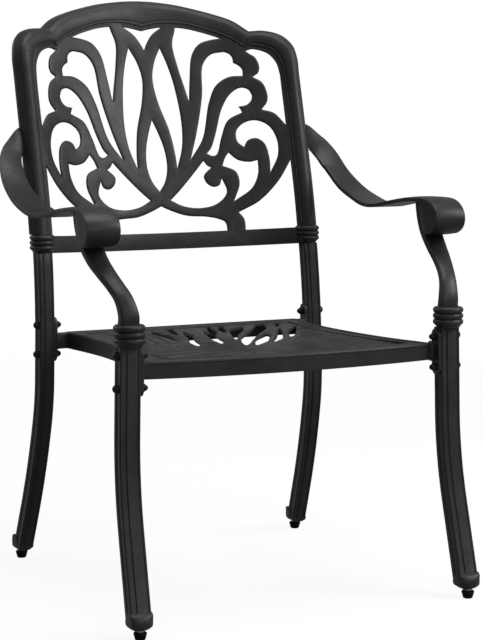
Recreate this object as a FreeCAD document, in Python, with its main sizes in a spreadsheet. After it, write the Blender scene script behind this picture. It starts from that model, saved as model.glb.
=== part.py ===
"""Cast garden armchair: four splayed legs, a scrolled back and seat, ribbon armrests.

Millimetres, +Z up, the sitter faces -Y, +X is the sitter's left (the viewer's right).
The floor is z = 0 and the origin is the middle of the chair's footprint.
"""
import FreeCAD, Part
import math
import os
import re
import Sketcher
from FreeCAD import Matrix, Placement, Rotation, Vector

# Driving dimensions: name, value and what it is.
SIZES = [
    ("front_leg_y", -276.1, "front legs, centre line at the top"),
    ("leg_spacing", 411.1, "front legs to rear legs, at seat height"),
    # Front legs
    ("front_leg_x", 265.1, "centre line at the top, from the middle"),
    ("front_leg_top", 416.0, "height of the top end"),
    ("front_leg_width", 32.2, "across"),
    ("front_leg_depth", 25.5, "front to back"),
    ("front_leg_straight", 126.0, "upright run below the top"),
    ("front_bend_radius", 552.0, "sweep of the bend"),
    ("front_bend_angle", 14.7, "slope of the lower leg"),
    ("front_splay", 1.16, "outward lean"),
    ("front_turn", 0.0, "twist about the upright"),
    ("front_toe_bulge", 6.0, "toe ahead of the leg's face"),
    # Rear legs
    ("rear_leg_x", 244.3, "centre line at the datum"),
    ("rear_leg_datum", 361.0, "height where the leg is upright"),
    ("rear_leg_top", 519.0, "height of the top end"),
    ("rear_leg_width", 25.5, "across"),
    ("rear_leg_depth", 25.5, "front to back"),
    ("rear_leg_straight", 43.0, "upright run below the datum"),
    ("rear_knee_radius", 338.0, "first bend below the seat"),
    ("rear_knee_angle", 13.66, "slope where the first bend ends"),
    ("rear_bend_radius", 1017.0, "second, longer bend"),
    ("rear_bend_angle", 22.64, "slope of the lower leg"),
    ("rear_sweep_radius", 1090.0, "sweep of the upper leg and the post"),
    ("rear_splay", 1.29, "outward lean"),
    ("rear_turn", 3.15, "twist about the upright"),
    ("rear_toe_bulge", 10.5, "toe behind the leg's face"),
    # Leg section and foot
    ("front_ridge", 11.0, "raised middle of a front leg's face, its width"),
    ("rear_ridge", 7.4, "raised middle of a rear leg's face, its width"),
    ("flute_depth", 1.8, "depth of the grooves beside it"),
    ("flute_lip", 3.2, "width of the raised edge"),
    ("flute_slope", 1.2, "run of a groove's sloping side"),
    ("side_flute_half", 4.5, "half width of the groove down the leg's side"),
    ("side_flute_depth", 1.0, "depth of that groove"),
    ("leg_corner", 2.5, "corner radius of the leg"),
    ("leg_clearance", 14.5, "underside of the leg above the floor"),
    ("toe_radius", 13.5, "rounded toe"),
    ("toe_flat", 1.0, "trimmed level off the toe's underside"),
    ("heel_radius", 9.0, "rounding opposite the toe"),
    ("toe_overhang", 0.6, "toe beyond each side of the leg"),
    # Levelling glides
    ("insert_diameter", 12.0, "threaded insert, outside"),
    ("insert_length", 20.0, "insert inside the leg"),
    ("insert_neck", 2.2, "insert below the leg"),
    ("stem_diameter", 8.0, "screw stem"),
    ("stem_clearance", 0.3, "round the stem, and over the pad"),
    ("stem_length", 21.0, "stem above the pad"),
    ("stem_root", 5.0, "stem moulded into the pad"),
    ("pad_top_diameter", 20.0, "glide pad, top"),
    ("pad_bottom_diameter", 15.5, "glide pad, where it rests"),
    ("pad_edge", 2.5, "rounding round the pad's foot"),
    # Collars
    ("front_collar_diameter", 47.0, "over the rings"),
    ("front_collar_height", 32.0, "top to bottom"),
    ("front_collar_ahead", 4.5, "collar's axis ahead of the leg's"),
    ("rear_collar_diameter", 41.0, "over the rings"),
    ("rear_collar_height", 29.0, "top to bottom"),
    ("rear_collar_ahead", 0.0, "collar's axis ahead of the leg's"),
    ("collar_taper", 4.5, "height of the taper under the rings"),
    ("collar_step", 3.0, "depth between two rings"),
    # Back
    ("back_radius", 434.0, "plan radius of the hollow back, front face"),
    ("back_lean", 15.2, "lean of the back"),
    ("post_inner", 224.0, "inner edge of a post, from the middle"),
    ("post_outer", 250.0, "outer edge of a post, from the middle"),
    ("leg_axis_depth", 10.0, "centre line of the rear legs behind the back's face"),
    ("band_proud", 5.5, "posts and crest ahead of the back's face"),
    ("post_depth", 28.5, "posts, front to back"),
    ("crest_depth", 32.5, "crest, front to back"),
    ("flange_width", 6.0, "thin edge inside the posts and the crest"),
    ("flange_thickness", 6.0, "that edge, front to back"),
    ("scroll_proud", 3.0, "scrollwork ahead of the back's face"),
    ("scroll_thickness", 4.5, "back scrollwork"),
    ("outline_datum", 8.65, "height of the back outlines' zero"),
    ("rail_height", 27.5, "lower rail, top to bottom"),
    ("rail_thickness", 12.0, "lower rail, front to back"),
    ("rail_bottom", 511.8, "underside of the rail at its middle"),
    ("rail_proud", 3.0, "rail ahead of the back's face"),
    ("rail_tilt", 6.2, "the rail's ends rise towards the front"),
    # Arms
    ("arm_thickness", 7.5, "ribbon armrest"),
    ("arm_crown", 1.6, "rise of the ribbon's middle"),
    ("arm_width", 51.5, "ribbon at the scroll"),
    ("arm_x", 288.7, "middle of the ribbon at the scroll"),
    ("scroll_centre_behind", 76.5, "centre of the front curl behind the front legs"),
    ("scroll_centre_height", 581.0, "height of the curl's centre"),
    ("scroll_half_length", 49.5, "curl, front to back"),
    ("scroll_rise", 31.7, "curl, its centre to the top"),
    ("scroll_drop", 28.5, "curl, its centre to the bottom"),
    ("scroll_squareness", 2.3, "power of the curl's lower quarter, 2 for an ellipse"),
    ("curl_turn", 178.0, "how far the ribbon curls round, in degrees"),
    ("support_crown", 2.5, "rise of the support's middle"),
    # Seat
    ("seat_top", 391.5, "height of the seat's frame at its front edge"),
    ("seat_slope", 0.3, "fall of the seat to the rear, in degrees"),
    ("apron_height", 25.5, "depth of the apron"),
    ("apron_wall", 6.0, "thickness of the apron"),
    ("frame_width", 24.0, "flat frame round the seat"),
    ("frame_thickness", 6.0, "thickness of the flat frame"),
    ("bead_height", 1.5, "bead above the frame"),
    ("bead_width", 5.0, "bead along the frame's edge"),
    ("bead_inset", 2.0, "bead from the seat's edge"),
    ("seat_front", 20.5, "middle of the front edge ahead of the front legs"),
    ("seat_front_sag", 24.0, "curve of the front edge"),
    ("seat_front_half", 238.0, "half width at the front corners"),
    ("seat_rear_half", 210.0, "half width at the rear corners"),
    ("seat_waist_half", 200.0, "half width at the narrowest"),
    ("seat_rear", 2.6, "rear edge ahead of the rear legs"),
    ("grille_drop", 6.0, "top of the seat grille below the frame's top"),
    ("grille_thickness", 4.5, "seat grille"),
    # Seat fixings
    ("lug_width", 22.0, "bolted lug, front to back"),
    ("lug_height", 72.0, "bolted lug, top to bottom"),
    ("lug_thickness", 5.0, "bolted lug"),
    ("lug_centre", 379.2, "height of the lug's middle"),
    ("bolt_pitch", 47.5, "upper bolt to lower bolt"),
    ("bolt_diameter", 6.0, "shank"),
    ("bolt_clearance", 0.25, "round the shank"),
    ("bolt_head_diameter", 13.0, "dome head"),
    ("bolt_head_height", 7.5, "dome head"),
    ("washer_diameter", 13.5, "washer"),
    ("washer_thickness", 1.2, "washer"),
    ("nut_across_flats", 10.0, "cap nut"),
    ("nut_hexagon", 4.5, "height of the cap nut's hexagon"),
    ("nut_dome", 4.5, "dome of the cap nut"),
]

doc = FreeCAD.newDocument("garden_armchair")
sheet = doc.addObject("Spreadsheet::Sheet", "Sizes")
for row, (name, value, note) in enumerate(SIZES, start=1):
    sheet.set(f"A{row}", str(value))
    sheet.setAlias(f"A{row}", name)
    sheet.set(f"B{row}", note)
doc.recompute()

NAMES = {name for name, value, note in SIZES}
SIDES = [("left", -1), ("right", 1)]
parts = []


def size(text):
    """The value of an expression in the sheet's names."""
    return float(sheet.evalExpression(text))


def cells(text):
    """The same expression as another object writes it."""
    return re.sub(r"[a-z][a-z_]*", lambda m: "Sizes." + m[0] if m[0] in NAMES else m[0], str(text))


def bind(item, links):
    for prop, text in links.items():
        item.setExpression(prop, cells(text))


def keep(item, name):
    """Take an object as a sub-part; its label names its file."""
    item.Label = name
    parts.append(item)
    return item


# Sketches and bodies

def new_body(name):
    return doc.addObject("PartDesign::Body", name)


def new_sketch(body, name, role):
    sketch = body.newObject("Sketcher::SketchObject", name)
    plane = [item for item in body.Origin.OriginFeatures if item.Role == role][0]
    sketch.AttachmentSupport = [(plane, "")]
    sketch.MapMode = "FlatFace"
    return sketch


def arc_between(start, end, radius, turn):
    """Minor arc from start to end; turn is 1 anticlockwise and -1 clockwise."""
    chord = end - start
    rise = math.sqrt(max(radius ** 2 - (chord.Length / 2) ** 2, 0))
    centre = (start + end) / 2 + Vector(-chord.y, chord.x, 0).normalize() * rise * turn
    first, last = (start, end) if turn > 0 else (end, start)
    angles = [math.atan2(p.y - centre.y, p.x - centre.x) for p in (first, last)]
    return Part.ArcOfCircle(Part.Circle(centre, Vector(0, 0, 1), radius), *angles)


def draw(sketch, path, closed=True):
    """Lines and arcs through a path of (x, y) or (x, y, radius, turn) expressions.

    The last two say that an arc leads to the point.
    """
    places = [Vector(size(p[0]), size(p[1]), 0) for p in path]
    count = len(path) if closed else len(path) - 1
    ends = []
    for i in range(count):
        j = (i + 1) % len(path)
        if len(path[j]) > 2:
            radius, turn = path[j][2:]
            piece = sketch.addGeometry(arc_between(places[i], places[j], size(radius), turn))
            ends.append((piece, 1, 2) if turn > 0 else (piece, 2, 1))
            hold = sketch.addConstraint(Sketcher.Constraint("Radius", piece, size(radius)))
            sketch.setExpression(f"Constraints[{hold}]", cells(radius))
        else:
            piece = sketch.addGeometry(Part.LineSegment(places[i], places[j]))
            ends.append((piece, 1, 2))
    for i in range(count if closed else count - 1):
        this, following = ends[i], ends[(i + 1) % count]
        sketch.addConstraint(
            Sketcher.Constraint("Coincident", this[0], this[2], following[0], following[1]))
    for i, point in enumerate(path):
        if i < count:
            piece, spot = ends[i][0], ends[i][1]
        else:
            piece, spot = ends[-1][0], ends[-1][2]
        for kind, text in (("DistanceX", point[0]), ("DistanceY", point[1])):
            hold = sketch.addConstraint(
                Sketcher.Constraint(kind, -1, 1, piece, spot, size(text)))
            sketch.setExpression(f"Constraints[{hold}]", cells(text))


def turned(name, path):
    """A body turned about its own Z axis from a (radius, height) outline."""
    body = new_body(name)
    sketch = new_sketch(body, name + "_outline", "XZ_Plane")
    draw(sketch, path)
    turn = body.newObject("PartDesign::Revolution", name + "_turn")
    turn.Profile = sketch
    turn.ReferenceAxis = (sketch, ["V_Axis"])
    turn.Angle = 360
    body.Tip = turn
    return body


def disc(body, name, y, z, radius, width):
    """A round block across a leg, centred on (y, z) of the body's own YZ plane."""
    sketch = new_sketch(body, name + "_outline", "YZ_Plane")
    circle = sketch.addGeometry(
        Part.Circle(Vector(size(y), size(z), 0), Vector(0, 0, 1), size(radius)))
    holds = (("Radius", (circle,), radius),
             ("DistanceX", (-1, 1, circle, 3), y),
             ("DistanceY", (-1, 1, circle, 3), z))
    for kind, where, text in holds:
        hold = sketch.addConstraint(Sketcher.Constraint(kind, *where, size(text)))
        sketch.setExpression(f"Constraints[{hold}]", cells(text))
    pad = body.newObject("PartDesign::Pad", name)
    pad.Profile = sketch
    pad.Midplane = True
    bind(pad, {"Length": width})


def sweep(body, name, section, spine):
    pipe = body.newObject("PartDesign::AdditivePipe", name)
    pipe.Profile = section
    pipe.Spine = (spine, [])
    body.Tip = pipe


# Legs

LEGS = {
    "front": dict(x="front_leg_x", y="front_leg_y", z="front_leg_top", bend=-1),
    "rear": dict(x="rear_leg_x", y="front_leg_y + leg_spacing", z="rear_leg_datum", bend=1),
}


def leg_place(item, end, side):
    """Stand an object in a leg's own frame: upright datum, splayed and twisted."""
    spot = LEGS[end]
    bind(item, {
        "Placement.Base.x": f"{side} * {spot['x']}",
        "Placement.Base.y": spot["y"],
        "Placement.Base.z": spot["z"],
        "Placement.Rotation.Yaw": f"{-side} * {end}_turn",
        "Placement.Rotation.Pitch": f"{-side} * {end}_splay",
    })


def leg_frame(end, side):
    spot = LEGS[end]
    base = Vector(side * size(spot["x"]), size(spot["y"]), size(spot["z"]))
    return Placement(base, Rotation(-side * size(end + "_turn"), -side * size(end + "_splay"), 0))


def fluted(end):
    """Section of a leg: a ridge between two grooves in front, a shallow groove each side."""
    half = f"{end}_leg_width / 2"
    face = f"-{end}_leg_depth / 2"
    right = [
        (f"{end}_ridge / 2", face),
        (f"{end}_ridge / 2 + flute_slope", f"{face} + flute_depth"),
        (f"{half} - flute_lip - flute_slope", f"{face} + flute_depth"),
        (f"{half} - flute_lip", f"{face} + flute_depth / 3"),
        (f"{half} - leg_corner", f"{face} + flute_depth / 3"),
        (half, f"{face} + flute_depth / 3 + leg_corner", "leg_corner", 1),
        (half, "-side_flute_half"),
        (f"{half} - side_flute_depth", "-side_flute_half + side_flute_depth"),
        (f"{half} - side_flute_depth", "side_flute_half - side_flute_depth"),
        (half, "side_flute_half"),
        (half, f"{end}_leg_depth / 2 - leg_corner"),
        (f"{half} - leg_corner", f"{end}_leg_depth / 2", "leg_corner", 1),
    ]
    left = []
    arc = ()
    for point in reversed(right):
        left.append((f"-({point[0]})", point[1]) + arc)
        arc = point[2:]
    return right + left


def leg_run(end):
    """Spine of the lower leg as (y, z) points with arcs, and the slope at its end."""
    bend = LEGS[end]["bend"]
    if end == "front":
        bends = [("front_bend_radius", "0", "front_bend_angle")]
    else:
        bends = [("rear_knee_radius", "0", "rear_knee_angle"),
                 ("rear_bend_radius", "rear_knee_angle", "rear_bend_angle")]
    y, z = "0", f"-{end}_leg_straight"
    path = [("0", "0"), (y, z)]
    for radius, first, last in bends:
        y = f"{y} + {bend} * {radius} * (cos({first}) - cos({last}))"
        z = f"{z} - {radius} * (sin({last}) - sin({first}))"
        path.append((y, z, radius, bend))
    low = (f"(leg_clearance + toe_radius - toe_flat"
           f" - {toe_offset(end)} * sin({bends[-1][2]}))")
    drop = f"(({LEGS[end]['z']} - {low}) / cos({end}_splay) + {z})"
    path.append((f"{y} + {bend} * {drop} * tan({bends[-1][2]})", f"{z} - {drop}"))
    return path, bends[-1][2]


def toe_offset(end):
    """The toe's centre, measured square to the leg from its centre line."""
    return f"({end}_leg_depth / 2 + {end}_toe_bulge - toe_radius)"


def make_leg(end, side_name, side):
    name = f"{end}_leg_{side_name}"
    bend = LEGS[end]["bend"]
    body = new_body(name + "_casting")
    section = new_sketch(body, name + "_section", "XY_Plane")
    draw(section, fluted(end))
    spine = new_sketch(body, name + "_spine", "YZ_Plane")
    path, slope = leg_run(end)
    draw(spine, path, closed=False)
    sweep(body, name + "_lower", section, spine)
    if end == "rear":
        rise = "asin((rear_leg_top + 6 - rear_leg_datum) / rear_sweep_radius)"
        upper = new_sketch(body, name + "_upper_spine", "YZ_Plane")
        draw(upper, [("0", "0"), (f"rear_sweep_radius * (1 - cos({rise}))",
                                  f"rear_sweep_radius * sin({rise})",
                                  "rear_sweep_radius", -1)], closed=False)
        sweep(body, name + "_upper", section, upper)
    end_y, end_z = path[-1][:2]
    for what, offset in (("toe", toe_offset(end)),
                         ("heel", f"(heel_radius - {end}_leg_depth / 2)")):
        radius = f"{what}_radius"
        width = f"{end}_leg_width + 2 * toe_overhang" if what == "toe" else f"{end}_leg_width"
        disc(body, f"{name}_{what}", f"{end_y} + {bend} * {offset} * cos({slope})",
             f"{end_z} + {offset} * sin({slope})", radius, width)
    leg_place(body, end, side)
    # Foot and top are trimmed level, and the leg is bored for its insert and its bolts.
    block = 200
    low = doc.addObject("Part::Box", name + "_floor_cut")
    low.Length = low.Width = low.Height = block
    bind(low, {"Placement.Base.x": f"{side} * {end}_leg_x - {block / 2}",
               "Placement.Base.y": f"{LEGS[end]['y']} - {block / 2} + {bend} * {block / 2}",
               "Placement.Base.z": f"leg_clearance - {block}"})
    high = doc.addObject("Part::Box", name + "_top_cut")
    high.Length = high.Width = high.Height = block
    bind(high, {"Placement.Base.x": f"{side} * {end}_leg_x - {block / 2}",
                "Placement.Base.y": f"{LEGS[end]['y']} - {block / 2}",
                "Placement.Base.z": f"{end}_leg_top"})
    cuts = [low, high]
    bore = doc.addObject("Part::Cylinder", name + "_insert_bore")
    foot = foot_point(end, side)
    bore.Placement.Base = Vector(foot.x, foot.y, size("leg_clearance"))
    bind(bore, {"Radius": "insert_diameter / 2", "Height": "insert_length"})
    cuts.append(bore)
    for level, sign in (("lower", -1), ("upper", 1)):
        hole = doc.addObject("Part::Cylinder", f"{name}_{level}_bolt_hole")
        bind(hole, {"Radius": "bolt_diameter / 2 + bolt_clearance",
                    "Height": f"{end}_leg_width + 2"})
        hole.Placement = leg_frame(end, side).multiply(
            bolt_place(end, side, sign, -size(f"{end}_leg_width") / 2 - 1))
        cuts.append(hole)
    tool = doc.addObject("Part::MultiFuse", name + "_cuts")
    tool.Shapes = cuts
    leg = doc.addObject("Part::Cut", name)
    leg.Base = body
    leg.Tool = tool
    return keep(leg, name)


def foot_point(end, side):
    """Where the leg's centre line meets the floor: the middle of the glide."""
    path, slope = leg_run(end)
    y, z = size(path[-1][0]), size(path[-1][1])
    bend = LEGS[end]["bend"]
    drop = size("toe_radius - toe_flat + leg_clearance / 2")
    local = Vector(0, y + bend * drop * math.tan(math.radians(size(slope))), z - drop)
    spot = leg_frame(end, side).multVec(local)
    return Vector(spot.x, spot.y, 0)


def bolt_place(end, side, sign, distance):
    """A bolt's axis in its leg's frame, pointing outwards; distance is along it."""
    height = size("lug_centre") + sign * size("bolt_pitch") / 2 - size(LEGS[end]["z"])
    return Placement(Vector(side * distance, 0, height), Rotation(Vector(0, 1, 0), side * 90))


# Feet

def make_glide(end, side_name, side):
    spot = foot_point(end, side)
    where = f"{end}_{side_name}"
    body = turned(f"foot_insert_{where}", [
        ("stem_diameter / 2 + stem_clearance", "leg_clearance - insert_neck"),
        ("insert_diameter / 2", "leg_clearance - insert_neck"),
        ("insert_diameter / 2", "leg_clearance + insert_length"),
        ("stem_diameter / 2 + stem_clearance", "leg_clearance + insert_length"),
    ])
    body.Placement.Base = spot
    keep(body, f"foot_insert_{where}")
    pad_top = "(leg_clearance - insert_neck - stem_clearance)"
    body = turned(f"leveller_stem_{where}", [
        ("0", f"{pad_top} - stem_root"),
        ("stem_diameter / 2", f"{pad_top} - stem_root"),
        ("stem_diameter / 2", f"{pad_top} + stem_length - 1"),
        ("stem_diameter / 2 - 1", f"{pad_top} + stem_length"),
        ("0", f"{pad_top} + stem_length"),
    ])
    body.Placement.Base = spot
    keep(body, f"leveller_stem_{where}")
    body = turned(f"leveller_pad_{where}", [
        ("0", "0"),
        ("pad_bottom_diameter / 2 - pad_edge", "0"),
        ("pad_bottom_diameter / 2", "pad_edge", "pad_edge", 1),
        ("pad_top_diameter / 2", f"{pad_top} - 2"),
        ("pad_top_diameter / 2 - 1", pad_top),
        ("stem_diameter / 2", pad_top),
        ("stem_diameter / 2", f"{pad_top} - stem_root"),
        ("0", f"{pad_top} - stem_root"),
    ])
    body.Placement.Base = spot
    keep(body, f"leveller_pad_{where}")


# Collars

def make_collar(end, side_name, side):
    """Three rings over a short taper; its axis stands upright."""
    name = f"{end}_collar_{side_name}"
    rim = f"{end}_collar_diameter / 2"
    pitch = f"(({end}_collar_height - collar_taper) / 3)"
    radius = f"(({pitch} / 2) ^ 2 + collar_step ^ 2) / (2 * collar_step)"
    path = [("0", "0"), (f"{rim} - 2 * collar_step", "0"), (f"{rim} - collar_step", "collar_taper")]
    for ring in (1, 2, 3):
        path.append((f"{rim} - collar_step", f"collar_taper + {ring} * {pitch}", radius, 1))
    path.append(("0", f"{end}_collar_height"))
    body = turned(name, path)
    spot = collar_point(end, side)
    body.Placement.Base = spot
    return keep(body, name)


def collar_point(end, side):
    """Bottom centre of a collar, on the leg's centre line half way up the collar."""
    rise = size(f"{end}_leg_top + {end}_collar_height / 2") - size(LEGS[end]["z"])
    back = 0
    if end == "rear":
        radius = size("rear_sweep_radius")
        back = radius - math.sqrt(radius ** 2 - rise ** 2)
    spot = leg_frame(end, side).multVec(Vector(0, back, rise))
    return Vector(spot.x, spot.y - size(f"{end}_collar_ahead"), size(f"{end}_leg_top"))


# Back: outlines are drawn on the hollow front face, as (x, height above the outline datum)

LEAN = math.radians(size("back_lean"))
BACK = size("back_radius")
BAND_FRONT = -size("band_proud")
POST_BACK = size("post_depth - band_proud")
CREST_BACK = size("crest_depth - band_proud")
SCROLL_FRONT = -size("scroll_proud")
SCROLL_BACK = size("scroll_thickness - scroll_proud")
FLANGE_BACK = size("flange_thickness - scroll_proud")


def back_origin():
    """Front face of the back at its middle, where the posts' sweep turns straight."""
    sweep_radius = size("rear_sweep_radius")
    y = size("front_leg_y + leg_spacing") + sweep_radius * (1 - math.cos(LEAN))
    z = size("rear_leg_datum") + sweep_radius * math.sin(LEAN)
    reach = BACK + size("leg_axis_depth")
    middle = size("(post_inner + flange_width + post_outer) / 2")
    set_back = reach * math.cos(math.asin(middle / BACK)) - BACK
    return Vector(0, y - set_back * math.cos(LEAN), z + set_back * math.sin(LEAN)), set_back


BACK_ORIGIN, POST_SET_BACK = back_origin()
BACK_FRAME = Placement(BACK_ORIGIN, Rotation(Vector(1, 0, 0), -math.degrees(LEAN)))


def back_level(x, height):
    """Distance up the lean of a point of the front face."""
    hollow = BACK - math.sqrt(BACK ** 2 - x ** 2)
    rise = height + size("outline_datum") - BACK_ORIGIN.z - hollow * math.sin(LEAN)
    return rise / math.cos(LEAN)


def strokes_wire(strokes, place):
    """A closed wire: each stroke is a smooth curve to the first point of the next."""
    edges = []
    for i, stroke in enumerate(strokes):
        points = [place(*p) for p in stroke + [strokes[(i + 1) % len(strokes)][0]]]
        if len(points) == 2:
            edges.append(Part.LineSegment(*points).toShape())
        else:
            curve = Part.BSplineCurve()
            curve.interpolate(Points=points)
            edges.append(curve.toShape())
    return Part.Wire(edges)


def mirrored(strokes):
    """The other half of an outline, in an order that keeps it closed."""
    flipped = []
    count = len(strokes)
    for i in range(count - 1, -1, -1):
        whole = strokes[i] + [strokes[(i + 1) % count][0]]
        flipped.append([(-x, height) for x, height in reversed(whole)][:-1])
    return flipped


def wall(strokes, front, back, rise=0):
    """A piece of the hollow back between two depths; its sides climb backwards by the rise."""
    near, far = BACK * 0.7, BACK * 1.15

    def place(x, height):
        turn = math.asin(x / BACK)
        climb = rise * ((BACK + front) * math.cos(turn) - near)
        return Vector(near * math.tan(turn), near - BACK, back_level(x, height) - climb)

    inner = strokes_wire(strokes, place)
    grow = Matrix()
    grow.scale(far / near, far / near, 1)
    shift = Matrix()
    shift.move(Vector(0, BACK, 0))
    away = Matrix()
    away.move(Vector(0, -BACK, rise * (far - near)))
    outer = inner.transformGeometry(away * grow * shift)
    block = Part.makeLoft([inner, outer], True, True)
    low, tall = -700, 1400
    middle = Vector(0, -BACK, low)
    ring = Part.makeCylinder(BACK + back, tall, middle).cut(
        Part.makeCylinder(BACK + front, tall, middle))
    return block.common(ring)


def one_solid(shape, name):
    """The single solid of a boolean's result; more than one is a fault."""
    solids = sorted(shape.Solids, key=lambda item: -item.Volume)
    small = [round(item.Volume, 1) for item in solids[1:]]
    if small:
        print(name, "dropped", small)
    return solids[0]


def feature(name, shape, place=None):
    item = doc.addObject("Part::Feature", name)
    item.Shape = shape
    if place:
        item.Placement = place
    return keep(item, name)


CREST_OUTER = [(-184, 872), (-160, 890), (-100, 910), (0, 923), (100, 910), (160, 890)]


def crest_outline(inset):
    """Crest rail; inset lifts its lower edge to leave the thin flange."""
    lift = inset
    right = [(175, 839 + lift), (150, 855 + lift), (120, 867 + lift), (83, 877 + lift),
             (60, 879.7 + lift)]
    drip = [[(36, 879.5 + lift), (20, 877.5 + lift)], [(0, 873 + lift), (-20, 877.5 + lift)]]
    left = [(-36, 879.5 + lift), (-60, 879.7 + lift), (-83, 877 + lift), (-120, 867 + lift),
            (-150, 855 + lift)]
    return [CREST_OUTER, [(184, 872)], right, *drip, left, [(-175, 839 + lift)]]


def post_outline(inset):
    """Right post with its shoulder; inset moves its inner edge to leave the flange."""
    inner = size("post_inner") + inset
    outer = size("post_outer")
    low = 560
    return [
        [(outer, low)],
        [(outer, 826), (outer - 5, 849), (outer - 20, 866), (outer - 44, 873)],
        [(184, 872)],
        [(175 + inset / 3, 839 + inset), (190, 842 + inset), (inner - 14, 834 + inset),
         (inner - 3, 817 + inset / 2)],
        [(inner, 798)],
        [(inner, low)],
    ]


def make_crest():
    band = wall(crest_outline(size("flange_width")), BAND_FRONT, CREST_BACK, math.tan(LEAN))
    flange = wall(crest_outline(0), SCROLL_FRONT, FLANGE_BACK)
    return one_solid(band.fuse(flange), "crest_rail")


def make_post(crest):
    """Straight and leaning above, swept round to the leg's curve below; its top is level."""
    above = Part.makeBox(800, 800, 800, Vector(-400, -600, 0))
    pieces = []
    for inset, front, back, rise in (
            (size("flange_width"), BAND_FRONT, POST_BACK, math.tan(LEAN)),
            (0, SCROLL_FRONT, FLANGE_BACK, 0)):
        straight = wall(post_outline(inset), front, back, rise).common(above)
        pieces.append(straight)
        foot = [face for face in straight.Faces if abs(face.BoundBox.ZMax) < 1e-4]
        axis = Vector(0, POST_SET_BACK + size("rear_sweep_radius"), 0)
        for face in foot:
            pieces.append(face.revolve(axis, Vector(1, 0, 0), size("back_lean") - 7))
    post = pieces[0].multiFuse(pieces[1:])
    seat = Part.makeBox(800, 800, 400, Vector(-400, -200, 0))
    seat.Placement = Placement(
        Vector(0, 0, size("rear_leg_top + rear_collar_height") - 400), Rotation())
    seat.Placement = BACK_FRAME.inverse().multiply(seat.Placement)
    return one_solid(post.cut(seat).cut(crest), "back_post")


# Holes of the right half; the left half is their mirror image.
BACK_HOLES = [
    # long inner petal
    [[(29, 843), (17, 820), (10, 791), (15, 752), (30, 703), (36, 662)],
     [(37, 639), (49, 674), (53, 715), (47, 780), (38, 818)]],
    # under the crest
    [[(64, 890), (60, 874), (53, 850), (58, 812), (66, 776)],
     [(71, 753), (76, 788), (85, 832), (100, 851), (120, 858)],
     [(140, 861), (145, 885)]],
    # outer petal
    [[(139, 837), (117, 832), (102, 814), (95, 762), (80, 704)],
     [(63, 654), (87, 688), (105, 750), (120, 779), (143, 794)],
     [(166, 796), (166, 807), (160, 814)],
     [(153, 818), (152, 828), (147, 834)]],
    # hooked petal
    [[(177, 762), (172, 772), (160, 775), (143, 765), (126, 740), (110, 695), (100, 672)],
     [(92, 663), (100, 659), (108, 661), (119, 690), (133, 719)],
     [(158, 733), (156, 738)],
     [(153, 743), (167, 746), (175, 754)]],
    # beside the post
    [[(175, 839), (181, 834), (189, 828), (194, 812), (191, 801)],
     [(182, 794), (195, 785), (201, 768), (200, 752)],
     [(190, 738), (208, 732)],
     [(223.5, 712)],
     [(223.5, 798), (220, 818), (209, 834), (190, 842)]],
    # crescent in the ring
    [[(155, 674), (146, 682), (145, 700), (158, 714), (178, 719), (197, 710), (207, 688),
      (206, 660)],
     [(192, 631), (193, 655), (188, 680), (176, 689), (162, 685)]],
    # under the ring's scroll
    [[(128, 664), (141, 652), (160, 648)],
     [(174, 651), (172, 628), (160, 604)],
     [(129, 582), (141, 612), (137, 632)],
     [(116, 642), (121, 654)]],
    # lowest hole, round the small ball
    [[(84, 650), (60, 624), (36, 600)],
     [(19, 585), (40, 575), (70, 571), (100, 578), (118, 597)],
     [(112, 620), (107, 609), (96, 606), (85, 613), (82, 625)],
     [(96, 639), (90, 642)]],
]
BACK_MIDDLE = [
    # under the drip
    [[(0, 840), (7, 853), (17, 866)], [(36, 879.5), (34, 900)], [(-34, 900)],
     [(-36, 879.5), (-17, 866), (-7, 853)]],
    # pointed oval
    [[(0, 720), (9, 697), (17, 668), (18, 638), (11, 615)],
     [(0, 600), (-11, 615), (-18, 638), (-17, 668), (-9, 697)]],
]
BACK_EDGE = [
    [(0, 575), (18, 567), (45, 558.5), (80, 556), (100, 552), (111, 546)],
    [(113, 525)],
    [(143, 525), (144, 546), (142, 554)],
    [(135, 563), (170, 582), (202, 615)],
    [(223.5, 650)],
    [(235, 700)],
    [(235, 800), (222, 840), (190, 860), (120, 885), (60, 895)],
]


def whole_edge(right):
    """A symmetrical outline from its right half, drawn from the middle below to above."""
    top = right[-1][-1]
    left = []
    chain = right + [[(0, top[1])]]
    for i in range(len(right) - 1, -1, -1):
        whole = chain[i] + [chain[i + 1][0]]
        left.append([(-x, height) for x, height in reversed(whole)][:-1])
    return right + left


def make_panel(crest, posts, rail):
    panel = wall(whole_edge(BACK_EDGE), SCROLL_FRONT, SCROLL_BACK)
    holes = BACK_MIDDLE + BACK_HOLES + [mirrored(hole) for hole in BACK_HOLES]
    panel = panel.cut([wall(hole, SCROLL_FRONT - 5, SCROLL_BACK + 5) for hole in holes])
    panel = panel.cut([crest, *posts, rail])
    return one_solid(panel, "back_panel")


def make_rail():
    """Curved lower rail, in the back's frame; its ends run into the collars."""
    height = size("rail_bottom + rail_height")
    lift = (height - BACK_ORIGIN.z) / math.cos(LEAN)
    front = BACK_ORIGIN.y + lift * math.sin(LEAN) - size("rail_proud")
    outer = Part.makeCylinder(BACK + size("rail_thickness"), size("rail_height"))
    rail = outer.cut(Part.makeCylinder(BACK, size("rail_height")))
    half = abs(collar_point("rear", 1).x)
    rail = rail.common(Part.makeBox(2 * half, 500, 100, Vector(-half, 100, -10)))
    tilt = Rotation(Vector(1, 0, 0), -size("rail_tilt"))
    bottom_middle = Vector(0, front, size("rail_bottom"))
    centre = bottom_middle - tilt.multVec(Vector(0, BACK, 0))
    rail.Placement = Placement(centre, tilt)
    return rail


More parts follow.
